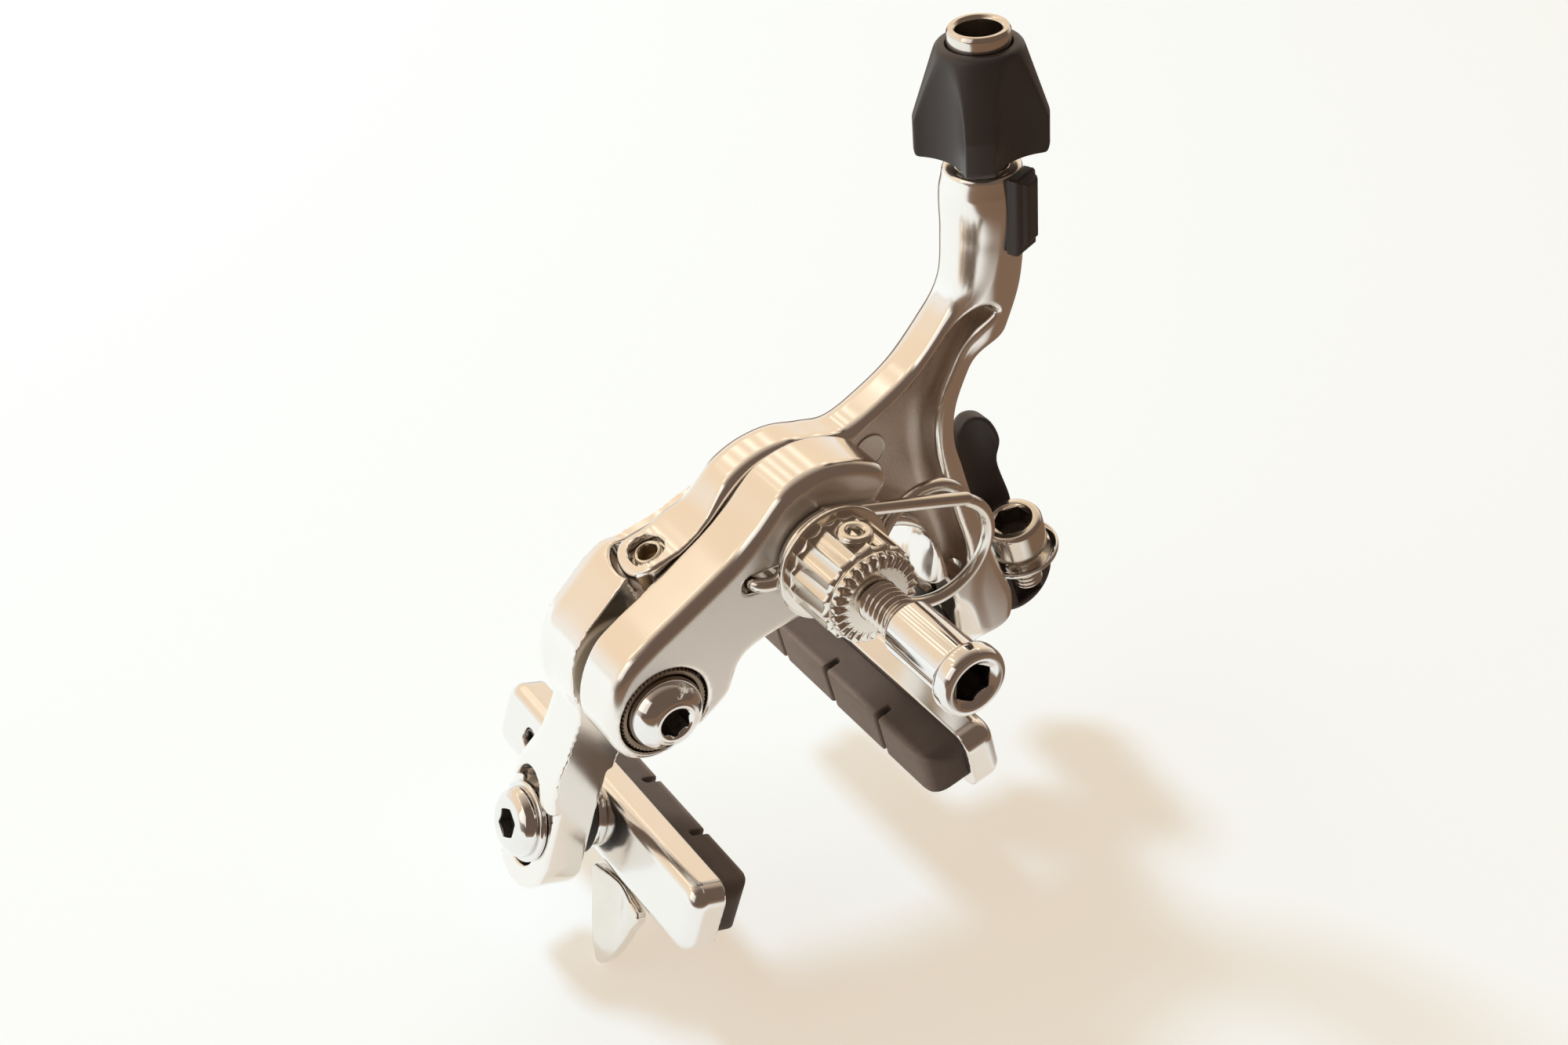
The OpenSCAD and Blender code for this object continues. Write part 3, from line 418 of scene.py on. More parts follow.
def turned(name, rows, about, body, finish, node=None, fillet=0.2, columns=96):
    """A turned ring: its closed profile, rounded by fillet, carried round its axis."""
    put(name, lathe(soften(rows, fillet), about, None, columns, True), body, finish, [node or name])


def socketed(name, rows, flats, deep, about, body, finish, fillet=0.2, columns=120):
    """A bolt, nut or grub screw with a hexagon socket."""
    surface, marks = socket_head(rows, flats, deep, about, fillet, columns)
    put(name, surface, body, finish, [name], marks)


print("rings and socket heads ready")

# %% [markdown]
# ## The fork bolt
# The bolt's bare thread shows between the toothed washer and the long sleeve nut. The thread is a ripple
# that climbs one pitch a turn, so its rows are dense and its radius depends on angle and place together.

# %% Centre bolt and sleeve nut
def thread(about, radius, start, end, pitch, deep, columns=48):
    """A threaded rod: radius - deep x wave ^ 0.8, where wave is 0.5 - 0.5 cos(2 pi place / pitch - turn).
    The thread fades at both ends, and the far end has a small chamfer."""
    place = np.linspace(start, end, int((end - start) / pitch * 14))[:, None]
    turn = np.linspace(0, 2 * np.pi, columns, endpoint=False)
    wave = 0.5 - 0.5 * np.cos(2 * np.pi * place / pitch - turn)
    fade = np.clip((place - start) / pitch, 0, 1) * np.clip((end - place) / pitch, 0, 1)
    r = radius - deep * wave ** 0.8 * fade - 0.4 * np.clip(1 - (end - place) / 0.5, 0, 1)
    return skin(rings(about, place, r, turn), False)


stud = thread(CENTRE, 2.99, -30.6, 15.2, 1.0, 0.5)
put("fork_bolt", stud, "mount", NICKEL, ["centre_bolt"], crease=60)
rows = [[0.3, 6.4], [3.3, 6.4], [3.6, 6.5], [4.0, 7.0], [4.0, 17.6], [4.2, 18.1], [4.8, 18.3], [5.0, 18.8],
        [5.0, 20.3], [4.6, 21.05], [4.1, 21.2], [3.5, 21.15], [3.0, 20.6]]
socketed("sleeve_nut", rows, 5.0, 4.6, CENTRE, "mount", CHROME, 0.4)

# %% [markdown]
# ## Washer and collar
# Between fork and plate sit a washer with radial teeth and a fluted collar with a thin flange. Teeth and
# flutes could be cut one by one; as ripples on a closed ring they come out evenly rounded, like real
# knurling.

# %% Toothed washer and fluted collar
TEETH = 28


def toothed_ring(columns=TEETH * 12):
    """A washer whose rear edge is cut by 28 radial notches. At angle a the notch goes down and in by a
    clipped triangle wave of a, times a share that is full near the rim and none on the flat inner face."""
    rows = np.array([[3.05, -1.6, 0], [6.5, -1.6, 0], [6.7, -1.4, 0], [6.7, -1.1, 0.1], [6.66, -0.75, 0.5],
                     [6.6, -0.35, 0.85], [6.4, -0.08, 1], [6.1, 0, 1], [5.7, 0, 0.8], [5.3, 0, 0.45],
                     [4.9, 0, 0], [4.5, 0, 0], [3.05, 0, 0]])
    turn = np.linspace(0, 2 * np.pi, columns, endpoint=False)
    notch = 1 - np.abs((turn * TEETH / (2 * np.pi)) % 1 * 2 - 1)
    notch = np.clip(1.5 * notch - 0.35, 0, 1)
    place = rows[:, 1:2] - 0.8 * rows[:, 2:] * notch
    radius = rows[:, :1] - 0.25 * rows[:, 2:] * notch
    return skin(rings(CENTRE, place, radius, turn), True)


put("toothed_washer", toothed_ring(), "mount", NICKEL, ["serrated_washer"], crease=24)


def flutes(turn, radius):
    """Eighteen flutes with crisp ridges around the collar: the size of the 9th harmonic, to the power 0.8,
    from the ridge inwards."""
    return -0.46 * np.abs(np.cos(9 * turn)) ** 0.8


band = soften([[3.1, -1.6], [6.6, -1.6], [7.1, -1.8], [7.4, -2.3], [7.4, -9.2], [7.3, -9.9], [8.4, -9.92],
               [8.65, -10.15], [8.65, -10.7], [8.4, -10.9], [5.3, -10.9], [5.3, -13.5], [4.4, -13.5],
               [3.1, -12.2]], 0.22)
fluted = (band[:, 0] > 6.2) & (band[:, 1] > -9.91)
share = np.interp(band[:, 1], [-9.9, -9.4, -2.3, -1.6], [0.4, 1, 1, 0.9]) * fluted
collar = lathe(np.column_stack([band, share]), CENTRE, flutes, 18 * 20, True)
put("fluted_collar", collar, "mount", NICKEL, ["collar"], crease=26)
SET_SCREW = axis((0, -5.75, 0), (0, 0, 1), (1, 0, 0))
rows = [[0.1, 3.4], [1.45, 3.4], [1.5, 6.8], [2.5, 6.8], [2.5, 7.5], [2.2, 7.9], [1.5, 7.9], [1.1, 7.7]]
socketed("collar_screw", rows, 1.9, 1.5, SET_SCREW, "mount", NICKEL, 0.2, 96)

# %% [markdown]
# ## The side pivot
# The outer arm turns on a bolt whose domed head sits in a round recess of the plate, on a knurled ring.

# %% Side bolt, ring and the nuts in front
rows = [[0.2, -36.2], [3.0, -36.2], [3.0, -33.6], [4.0, -33.6], [4.0, -15.5], [5.3, -15.5], [5.5, -14.4],
        [5.4, -13.2], [5.0, -12.1], [4.4, -11.3], [3.6, -10.75], [3.1, -10.6], [2.9, -10.5], [2.5, -10.5],
        [2.25, -10.75]]
socketed("side_bolt", rows, 4.0, 2.6, PIVOT, "mount", CHROME, 0.5)


def knurl(turn, radius):
    """A fine knurl: the 60th harmonic."""
    return 0.5 * np.cos(60 * turn)


ring = soften([[4.05, -16.9], [6.4, -16.9], [6.6, -16.6], [6.6, -14.1], [6.4, -13.8], [5.75, -13.9],
               [5.6, -14.2], [5.6, -15.5], [4.05, -15.5]], 0.12)
share = 0.3 * (ring[:, 0] > 6.3)
ring = lathe(np.column_stack([ring[:, 0] - 0.5 * share, ring[:, 1], share]), PIVOT, knurl, 480, True)
put("side_ring", ring, "mount", RING_STEEL, ["side_ring"], crease=60)
rows = [[3.05, -36.2], [4.4, -36.2], [5.2, -35.6], [5.2, -33.6], [3.05, -33.6]]
turned("side_nut", rows, PIVOT, "mount", DARK_STEEL, fillet=0.3)
lock = soften([[3.06, -30.8], [5.2, -30.8], [6.0, -30.3], [6.0, -28.3], [3.06, -28.2]], 0.12)
share = np.interp(lock[:, 1], [-30.75, -30.2], [0.1, 1]) * (lock[:, 0] > 4)
lock = lathe(np.column_stack([lock, share]), CENTRE, hexagon, 144, True)
put("lock_nut", lock, "mount", DARK_STEEL, ["lock_nut"])

# %% [markdown]
# ## Return spring
# A polished wire hooks into the plate, passes over the bolt, makes one loose loop and presses the inner arm
# open. It is a circle carried along a smooth curve. Its plate end stays and its hook follows the arm, so it
# blends between the two bodies.

# %% Wire along a path
def through(points, steps, closed=False):
    """A smooth curve through points: Catmull-Rom spans, steps points each, in any number of dimensions."""
    p = np.array(points, float)
    if closed:
        a, b, c, d = (np.roll(p, s, 0) for s in (1, 0, -1, -2))
    else:
        p = np.vstack([2 * p[0] - p[1], p, 2 * p[-1] - p[-2]])
        a, b, c, d = p[:-3], p[1:-2], p[2:-1], p[3:]
    t = np.linspace(0, 1, steps, endpoint=False)[None, :, None]
    a, b, c, d = (q[:, None] for q in (a, b, c, d))
    curve = 2 * b + (c - a) * t + (2 * a - 5 * b + 4 * c - d) * t ** 2 + (3 * b - a - 3 * c + d) * t ** 3
    curve = 0.5 * curve.reshape(-1, p.shape[1])
    return curve if closed else np.vstack([curve, p[-2]])


def wire(path, radius, sides=20):
    """A round wire: at each point of the path a circle across its direction, with rounded ends."""
    run = np.gradient(path, axis=0)
    run /= np.linalg.norm(run, axis=1)[:, None]
    across = np.cross(run, (0, 1, 0.05))
    across /= np.linalg.norm(across, axis=1)[:, None]
    up = np.cross(across, run)
    along = np.concatenate([[0], np.cumsum(np.linalg.norm(np.diff(path, axis=0), axis=1))])
    end = np.minimum(along, along[-1] - along) / radius
    r = radius * np.sqrt(np.clip(1 - np.clip(1 - end - 0.25, 0, 1) ** 2, 0.04, 1))
    turn = np.linspace(0, 2 * np.pi, sides, endpoint=False)
    ring = np.cos(turn)[None, :, None] * across[:, None] + np.sin(turn)[None, :, None] * up[:, None]
    return skin(path[:, None] + r[:, None, None] * ring, False)


def polar(centre, radius, degrees):
    """Points at a radius and an angle from a centre, in the XZ plane."""
    a = np.radians(degrees)
    return np.stack([centre[0] + radius * np.cos(a), centre[1] + radius * np.sin(a)], -1)


LOOP, LOOP_R, WRAP_R, WIRE_Y = np.array((-19.6, -7.2)), 9.0, 6.6, -12.2
tangent = np.arccos((WRAP_R - LOOP_R) / np.hypot(*LOOP))
leave = np.degrees(np.arctan2(LOOP[1], LOOP[0])) + 360 - np.degrees(tangent)
wrap = polar((0, 0), WRAP_R, np.arange(7) * leave / 6)
k = np.arange(29)
coil = polar(LOOP, LOOP_R, leave + 396 * k / 28)
coil_y = WIRE_Y - 4.4 * np.maximum(0, k - 2) / 26 * 1.1
hook, hook_y = coil[-1], coil_y[-1]
route = np.vstack([[(11.0, -15.3, -1.6), (10.2, -13.1, -1.6), (8.0, WIRE_Y, -1.4)],
                   np.column_stack([wrap[:, 0], np.full(7, WIRE_Y), wrap[:, 1]]),
                   np.column_stack([coil[:, 0], coil_y, coil[:, 1]]),
                   [(hook[0] - 1.4, hook_y - 1, hook[1] - 1.6),
                    (hook[0] - 1.6, hook_y - 3.4, hook[1] - 3.4),
                    (hook[0] - 0.9, hook_y - 7, hook[1] - 4.6)]])
surface = wire(through(route, 8), 0.99)
spring = put("return_spring_wire", surface, None, SPRING, ["return_spring"])
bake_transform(spring)
print("spring path of", len(route), "points")

# %% [markdown]
# ## Forgings
# The arms and the plate are forged and then milled: flat outlines with big soft edges that run into each
# other. Subdivision modelling would need hand-made topology for every hollow. Instead each forging is one
# formula, its distance field, negative inside: outlines are carried along Y with rounded edges, melded
# softly, and bores are carved away. The surface is then laid where the formula is zero.

# %% Outlines as distance fields
class Outline:
    """Signed distance to a closed smooth curve in a plane, negative inside, up to 6 mm away. It is measured
    once on a grid of step mm and read back with cubic B-spline weights, so the field bends smoothly."""

    def __init__(self, points, step=0.4, reach=6.0):
        curve = through(points, 24, True)
        self.step, self.low = step, curve.min(0) - reach - 2 * step
        size = np.ceil((curve.max(0) + reach - self.low) / step).astype(int) + 3
        gx, gz = (self.low[i] + step * np.arange(size[i]) for i in (0, 1))
        far, inside = np.full(size, reach), np.zeros(size, bool)
        for a, b in zip(curve, np.roll(curve, -1, 0)):
            i, j = (slice(*(np.searchsorted(g, (min(a[n], b[n]) - reach, max(a[n], b[n]) + reach))))
                    for n, g in ((0, gx), (1, gz)))
            px, pz = gx[i, None] - a[0], gz[None, j] - a[1]
            d = b - a
            t = np.clip((px * d[0] + pz * d[1]) / (d @ d), 0, 1)
            far[i, j] = np.minimum(far[i, j], np.hypot(px - t * d[0], pz - t * d[1]))
            c = slice(*np.searchsorted(gx, sorted((a[0], b[0]))))
            if c.start < c.stop:
                inside[c] ^= gz[None] > (a[1] + (gx[c] - a[0]) / d[0] * d[1])[:, None]
        self.grid = np.where(inside, -far, far)

    def __call__(self, x, z):
        """The distance at x, z: 16 grid values around the place, weighed by cubic B-splines."""
        total = 0
        (i, wx), (j, wz) = (self.weights((c - self.low[n]) / self.step, self.grid.shape[n])
                            for n, c in ((0, x), (1, z)))
        for m in range(4):
            for n in range(4):
                total = total + wx[m] * wz[n] * self.grid[i + m, j + n]
        return total

    @staticmethod
    def weights(place, size):
        """The lowest of four neighbouring grid lines, and their cubic B-spline weights."""
        first = np.clip(np.floor(place).astype(int) - 1, 0, size - 4)
        t = np.clip(place - first - 1, 0, 1)
        return first, ((1 - t) ** 3 / 6, (3 * t ** 3 - 6 * t ** 2 + 4) / 6,
                       (-3 * t ** 3 + 3 * t ** 2 + 3 * t + 1) / 6, t ** 3 / 6)


# %% [markdown]
# A few small formulas do all the shaping. `slab` rounds the edges of an outline that has thickness, `meld`
# joins two shapes with a fillet, `carve` cuts one from another and breaks the edge, as a file would.

# %% Shaping formulas
def rounded(a, b, r):
    """Where two distances meet at a corner, the corner is rounded with radius r."""
    a, b = a + r, b + r
    return np.minimum(np.maximum(a, b), 0) + np.hypot(np.maximum(a, 0), np.maximum(b, 0)) - r


def slab(flat, y, front, back, r_front, r_back):
    """An outline between front and back along Y, with its edges rounded by r_front and r_back."""
    middle, half = (front + back) / 2, (back - front) / 2
    return rounded(flat, np.abs(y - middle) - half, np.where(y < middle, r_front, r_back))


def meld(a, b, k):
    """Both shapes, with a soft fillet of reach k where they meet."""
    h = np.clip(0.5 + 0.5 * (b - a) / k, 0, 1)
    return b * (1 - h) + a * h - k * h * (1 - h)


def carve(a, b, k):
    """The first shape without the second, with the edge broken by about k."""
    return -meld(-a, b, k)


def post(x, z, at, r):
    """A round bar along Y, without ends."""
    return np.hypot(x - at[0], z - at[1]) - r


def ramp(value, start, end):
    """A smooth climb from 0 at start to 1 at end."""
    t = np.clip((value - start) / (end - start), 0, 1)
    return t * t * (3 - 2 * t)


def local(about, x, y, z):
    """Places as seen from a lathe's axis: along it, and along its two cross directions."""
    origin, *directions = about
    return [(x - origin[0]) * d[0] + (y - origin[1]) * d[1] + (z - origin[2]) * d[2] for d in directions]


def forge(field, low, high, step):
    """The surface where field is zero. The field is read on a grid; each cell that it crosses gets one
    point, the mean of its edge crossings, and each crossed grid edge joins its four cells by a quad. Two
    Newton steps along the field's slope then lay the points on the surface, and the slope gives the
    normals."""
    axes = [np.arange(a, b + step, step) for a, b in zip(low, high)]
    values = field(axes[0][:, None, None], axes[1][None, :, None], axes[2][None, None, :])
    values = np.broadcast_to(values, [len(a) for a in axes])
    inside = values < 0
    cells = np.array(values.shape) - 1
    corners = list(itertools.product((0, 1), repeat=3))
    count = sum(inside[i:i + cells[0], j:j + cells[1], k:k + cells[2]].astype(np.int8)
                for i, j, k in corners)
    cell = np.argwhere((count > 0) & (count < 8))
    index = np.full(cells, -1)
    index[tuple(cell.T)] = np.arange(len(cell))
    total, hits = np.zeros(cell.shape), np.zeros((len(cell), 1))
    for p, q in itertools.combinations(corners, 2):
        if sum(abs(m - n) for m, n in zip(p, q)) == 1:
            a, b = values[tuple((cell + p).T)], values[tuple((cell + q).T)]
            cross = ((a < 0) != (b < 0))[:, None]
            t = (a / np.where(a == b, 1, a - b))[:, None]
            total += np.where(cross, p + t * (np.array(q) - p), 0)
            hits += cross
    points = np.array(low) + step * (cell + total / hits)
    quads = []
    for n in range(3):
        one, two = (m for m in range(3) if m != n)
        a = np.moveaxis(inside, (n, one, two), (0, 1, 2))
        cube = np.moveaxis(index, (n, one, two), (0, 1, 2))
        here, there = a[:-1, 1:-1, 1:-1], a[1:, 1:-1, 1:-1]
        e = np.argwhere(here != there)
        i, j, k = e.T
        quad = np.stack([cube[i, j, k], cube[i, j + 1, k], cube[i, j + 1, k + 1], cube[i, j, k + 1]], -1)
        flip = here[i, j, k] == (n == 1)
        quads.append(np.where(flip[:, None], quad[:, ::-1], quad))
    slope = None
    for _ in range(2):
        slope = gradient(field, points)
        steep = np.maximum((slope ** 2).sum(1), 0.05)
        move = slope * (field(*points.T) / steep)[:, None]
        points = points - np.clip(move, -0.5 * step, 0.5 * step)
    slope = gradient(field, points)
    return points, [np.vstack(quads)], slope / np.maximum(np.linalg.norm(slope, axis=1), 1e-9)[:, None]


def gradient(field, points, h=0.06):
    """The slope of a field, from its values a little to both sides along each axis."""
    steps = h * np.eye(3)
    return np.stack([field(*(points + s).T) - field(*(points - s).T) for s in steps], -1) / (2 * h)


def room(node, margin=1.2):
    """The corners of a CAD node's box, in mm, with some margin."""
    low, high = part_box(node)
    return np.array(low) * 1000 - margin, np.array(high) * 1000 + margin


print("forging formulas ready")

# %% [markdown]
# ## Outlines of the forgings
# Most of these curves are the CAD model's outlines in the XZ plane, so that the forged pieces lie where the
# CAD solids lie. The neck, the shoulder and the root are drawn again, because their edges show most in the
# picture.

# %% Outlines
PIV, LEV, TIP = (24.6, -17.4), np.array((-50.8, -33.3)), (19.2, -5)
PLATE_FRONT, PLATE_BACK, ARM_FRONT, ARM_BACK, SHOULDER_FRONT = -22.5, -13.5, -31, -23, -36.5
ARCH_FRONT, ARCH_BACK, ARCH_SWEEP, LEG_HALF, SLOT_HALF = -39.5, -32.0, 7.3, 6.8, 3.2


def around(centre, *pairs):
    """Points given as radius and angle around a centre."""
    return [polar(centre, r, a) for r, a in pairs]


def leg(side, *pairs):
    """Points on a leg: outwards along its pad bolt, and up across it."""
    return [(side * (LEG_X + u * np.cos(PAD_LEAN) - w * np.sin(PAD_LEAN)),
             u * np.sin(PAD_LEAN) + w * np.cos(PAD_LEAN) - DROP[side]) for u, w in pairs]


def neck(*pairs):
    """Points beside the adjuster's axis: below the boss top, and across towards +X."""
    x, _, z = BARREL[0]
    return [(x - t * np.sin(LEAN) + s * np.cos(LEAN), z - t * np.cos(LEAN) - s * np.sin(LEAN))
            for t, s in pairs]


HUB = (0, 0)
plate_shape = Outline(
    around(HUB, (13.4, 148), (14.2, 136), (13.2, 114), (12.5, 90), (11.9, 63), (11.7, 28.5))
    + around(PIV, (22.2, 118), (15.5, 103.4), (11.4, 77), (10.1, 52.7), (8.8, 22), (8.4, -12), (8.4, -52),
             (7.9, -92), (7.8, -132), (10.6, -170))
    + around(HUB, (17.6, -50), (11.6, -72), (11.0, -102), (10.8, -138), (10.6, -174), (10.4, 158)))
arm_shape = Outline(
    [(23.6, -5), *around(TIP, (4.4, 60)), (16.6, 0.6), (12.4, 3.8),
     *around(HUB, (12, 44), (11.6, 70), (11.8, 96), (12.6, 120)), (-11, 10.4), (-16, 12.6), (-21.6, 16.4),
     (-26, 21.8), *neck((17, 5.4), (10, 4.3), (4, 3), (4, -3), (11, -4.4), (19, -4)), (-35, 19.6),
     (-32, 13.6), (-30.2, 8), (-30.4, 2.6), (-32.2, -2.6), (-34.6, -9), (-37.4, -16),
     *leg(-1, (12.9, 11.8), (13.6, 8), (14.2, 3), (12.8, -1.2), (9, -1.8), (5.8, 0.4), (4.8, 6.8),
          (0.6, 14)),
     (-27, -14), (-21.4, -9.6), (-14.6, -9.2), *around(HUB, (11, -122), (11, -90), (11, -58)), (12.6, -8.4),
     (16.4, -7.6)])
hollow_shape = Outline(
    [*neck((20, 2.8)), (-28.6, 22.4), (-23.6, 16.2), (-18.4, 12), (-12.8, 8.6),
     *around(HUB, (11, 160), (11, 184)), (-12.4, -5.6), (-18.4, -6), (-24, -9), (-28.2, -15),
     *leg(-1, (4, 15), (5, 12.8), (6.8, 14)), (-33.6, -17.6), (-30.8, -10), (-28.2, -3), (-26.6, 3),
     (-26.6, 9), (-28.8, 15), (-31.4, 20.2), *neck((21.6, 0.8))])
right_leg_shape = Outline(
    [(-31.4, -13.6), (-36.6, -15.6),
     *leg(-1, (7.6, 9), (7.6, 0), (7.6, -9), (7.2, -17), (-0.4, -17), (-0.6, -9), (-0.6, 0), (-0.4, 10)),
     (-28.4, -18)])
shoulder_shape = Outline(
    [(19.8, -5.6), (21, -2), (23.8, -2.4), (27.4, -5.8),
     *around(PIV, (9.8, 48), (8.8, 22), (8.3, -8), (9.4, -38)),
     *leg(1, (7.6, 15), (8.4, 9), (8.0, 2), (7.6, -5), (7, -17), (-0.4, -17), (-0.6, -5), (-0.6, 2),
          (-0.4, 10)),
     (24, -28.4), *around(PIV, (8.2, -130), (8, -170), (8, 150), (8, 116))])
root_shape = Outline(
    [(-1, 2.2), (4, 2.6), (8.6, 1.6), (13.7, -0.6), (18.8, -2), (23.4, -3.6), (27.4, -7.2),
     *around(PIV, (8.6, 40), (8.2, -20), (8.2, -80), (8.2, -140)), (13, -16), (5, -11.4), (-3, -6)])
arch_shape = Outline(
    [(-34, -5.6), (-27, -3.4), (-18, -1.8), (-8, -1), (2, -1.4), (10, -3.4), (16, -7),
     *around(PIV, (7.2, 132), (7.2, 176)), (13.4, -16.2), (8, -12.6), (0, -11.2), (-10, -10.8),
     (-20, -11.8), (-28, -14), (-33.4, -12)])
band_shape = Outline(
    [(-24, -2.6), (-34, -5.4), LEV + (6.4, 21.9), LEV + (-1, 13.9),
     *around(LEV, (9, 96), (8.6, 150), (7.4, 200), (6.6, 262), (6.6, 320)), LEV + (6.6, 5.5),
     LEV + (12, 13.9), (-31, -14.4), (-24, -12)])
print("eight outlines measured; the plate's grid is", plate_shape.grid.shape)

# %% [markdown]
# ## The rear plate
# A thick satin plate carries both pivots. Its rear face is flat, its rim is broken by a bright rounded
# edge, and a round recess takes the side bolt's head.

# %% Rear plate
def plate_field(x, y, z):
    """The plate's outline from y -22.5 to -13.5, less its two bores, the recess and the spring's slot."""
    body = slab(plate_shape(x, z), y, PLATE_FRONT, PLATE_BACK, 0.8, 2.0)
    body = carve(body, post(x, z, HUB, 4.05), 0.4)
    body = carve(body, post(x, z, PIV, 4.05), 0.4)
    body = carve(body, np.maximum(post(x, z, PIV, 6.75), -16.9 - y), 0.7)
    slot = np.hypot(np.maximum(np.maximum(x - 11.0, 6.4 - x), 0), z + 1.6) - 1.4
    return carve(body, np.maximum(slot, -17.5 - y), 0.4)


surface = forge(plate_field, *room("bridge_plate"), 0.36)
satin = ramp(surface[2][:, 1], 0.93, 0.995) * ramp(surface[0][:, 1], PLATE_BACK - 0.7, PLATE_BACK - 0.2)
put("rear_plate", surface, "mount", SATIN, ["bridge_plate"], {"satin": satin})

# %% [markdown]
# ## The inner arm
# The inner arm turns on the fork bolt. From its hub it climbs over a slim neck to the adjuster's boss, runs
# down a rib to the right pad's slotted leg, and reaches a short finger out to the centring screw. Its back
# is hollowed between the two ribs, and the hollow keeps the grainy skin of the die.

# %% Inner arm
def leg_space(side, x, y, z):
    """A leg's own directions: u outwards along the pad bolt, v back and w up."""
    dx, dz = side * (x - side * LEG_X), z + DROP[side]
    cos, sin = np.cos(PAD_LEAN), np.sin(PAD_LEAN)
    return dx * cos + dz * sin, y - PAD_Y, dz * cos - dx * sin


def pad_slot(body, u, v, w, low, inset, top):
    """A leg after milling: flat inside behind its inset, flat outside up to top, with a slot for the pad
    bolt."""
    body = carve(body, rounded(u - inset, w - low - 16, 0.5), 0.9)
    body = carve(body, np.maximum(np.maximum(7.0 - u, np.abs(v) - 6.5), w - top), 0.9)
    body = carve(body, np.maximum(np.hypot(v, w) - LEG_HALF, 7.0 - u), 0.5)
    return carve(body, np.hypot(v, w - np.clip(w, low, low + 10)) - SLOT_HALF, 0.6)


def inner_arm_field(x, y, z):
    """Arm slab + leg + boss, melded; less the hollow, the bores, the slot and room for the outer arm's
    knuckle."""
    u, v, w = leg_space(-1, x, y, z)
    rise = 2.3 * ramp(z, 16, 42)
    ts, ss, cs = local(SCREW, x, y, z)
    finger = ramp(x, 8, 14)
    soft = 2.6 * ramp(z, 18, 36)
    front = ARM_FRONT - 1.2 * ramp(x, 11.5, 15.5) * ramp(z, -4.5, -1.5)
    back, edge = ARM_BACK + 0.3 * finger, 1.6 + soft - 1.2 * finger
    body = slab(arm_shape(x, z), y - rise, front, back, 3.2 - finger, edge)
    tip = np.hypot(np.maximum(ss, 0), np.maximum(cs, cs * 0.82)) - 4.3 - 6 * ramp(-ss, 2, 8)
    body = rounded(body, tip, 0.5)
    end = np.hypot(v, np.minimum(w + 1, 0)) - LEG_HALF
    body = meld(body, rounded(right_leg_shape(x, z), end, 1.6), 3.0)
    t, s, c = local(BARREL, x, y, z)
    ring = np.hypot(s, c)
    boss = ring - 5.3 + 0.15 * np.maximum(0, -t - 3)
    body = meld(body, rounded(boss, np.abs(t + 13) - 13, 0.6), 6.0)
    hollow = slab(hollow_shape(x, z), y, -28.0, -8.0, 2.4, 0.0)
    body = carve(body, hollow, 1.1)
    body = carve(body, post(x, z, HUB, 5.5), 0.3)
    body = carve(body, np.maximum(post(x, z, HUB, 8.2), y + 27.6), 0.6)
    body = carve(body, np.maximum(ring - 3.56, -12 - t), 0.4)
    body = pad_slot(body, u, v, w, -1, 3.6, 14)
    sink = np.hypot(ss, cs)
    body = carve(body, np.maximum(sink - 2.1, np.abs(ts) - 12), 0.2)
    body = carve(body, np.maximum(sink - 2.6, 0.2 - ts), 0.2)
    return carve(body, post(x, z, PIV, 8.8), 0.8)


surface = forge(inner_arm_field, *room("y_arm"), 0.4)
x, y, z = surface[0].T
cast = ramp(-hollow_shape(x, z), -0.9, 0.3) * ramp(-y, 23.3, 24.4) * (y > -29)
put("inner_arm_forging", surface, "inner_arm", POLISHED, ["y_arm"], {"cast": cast})
print("share of the inner arm left as forged:", round(float(cast.mean()), 2))

# %% [markdown]
# ## The outer arm
# The outer arm hangs on the side pivot. One leg drops to the left pad; an arch crosses in front of the
# inner arm and sweeps out to the quick-release lever. It is polished all over.

# %% Outer arm
def outer_arm_field(x, y, z):
    """Shoulder, root and the swept arch, melded; less the finger's notch, the bores and the leg's slot."""
    u, v, w = leg_space(1, x, y, z)
    down = ramp(w, 16, 4)
    ts, ss, cs = local(SCREW, x, y, z)
    front, back = SHOULDER_FRONT - 1.8 * down, ARM_BACK - 1.7 * down
    body = slab(shoulder_shape(x, z), y, front, back, 6.0 - 2.4 * down, 2.4 - down)
    body = np.maximum(body, np.hypot(v, np.minimum(w + 4, 0)) - LEG_HALF)
    body = meld(body, slab(root_shape(x, z), y, SHOULDER_FRONT, -32.6, 3.6, 0.4), 2.5)
    notch = np.hypot(np.maximum(ss, 0), np.maximum(cs, cs * 0.8)) - 4.4 - 0.6 * ramp(ss, 0, 3)
    body = carve(body, np.maximum(notch, -9.5 - ts), 0.4)
    sweep = ARCH_SWEEP * ramp(x, -22, -35)
    arch = meld(arch_shape(x, z), band_shape(x, z), 2.0)
    body = meld(body, slab(arch, y + sweep, ARCH_FRONT, ARCH_BACK, 2.8, 1.2), 2.5)
    body = carve(body, post(x, z, PIV, 5.0), 0.4)
    body = carve(body, np.maximum(post(x, z, PIV, 5.8), y + 33.5), 0.5)
    body = carve(body, post(x, z, LEV, 2.5), 0.3)
    return pad_slot(body, u, v, w, -4, 0, 5)


surface = forge(outer_arm_field, *room("c_arm"), 0.42)
put("outer_arm_forging", surface, "outer_arm", POLISHED, ["c_arm"])

# %% [markdown]
# ## Cable adjuster
# A knob with four rounded wings turns on a bright tube that takes the cable's casing. The knob is one
# surface: at each height its radius is a soft minimum of a turned outline and of four round scoops between
# the wings.

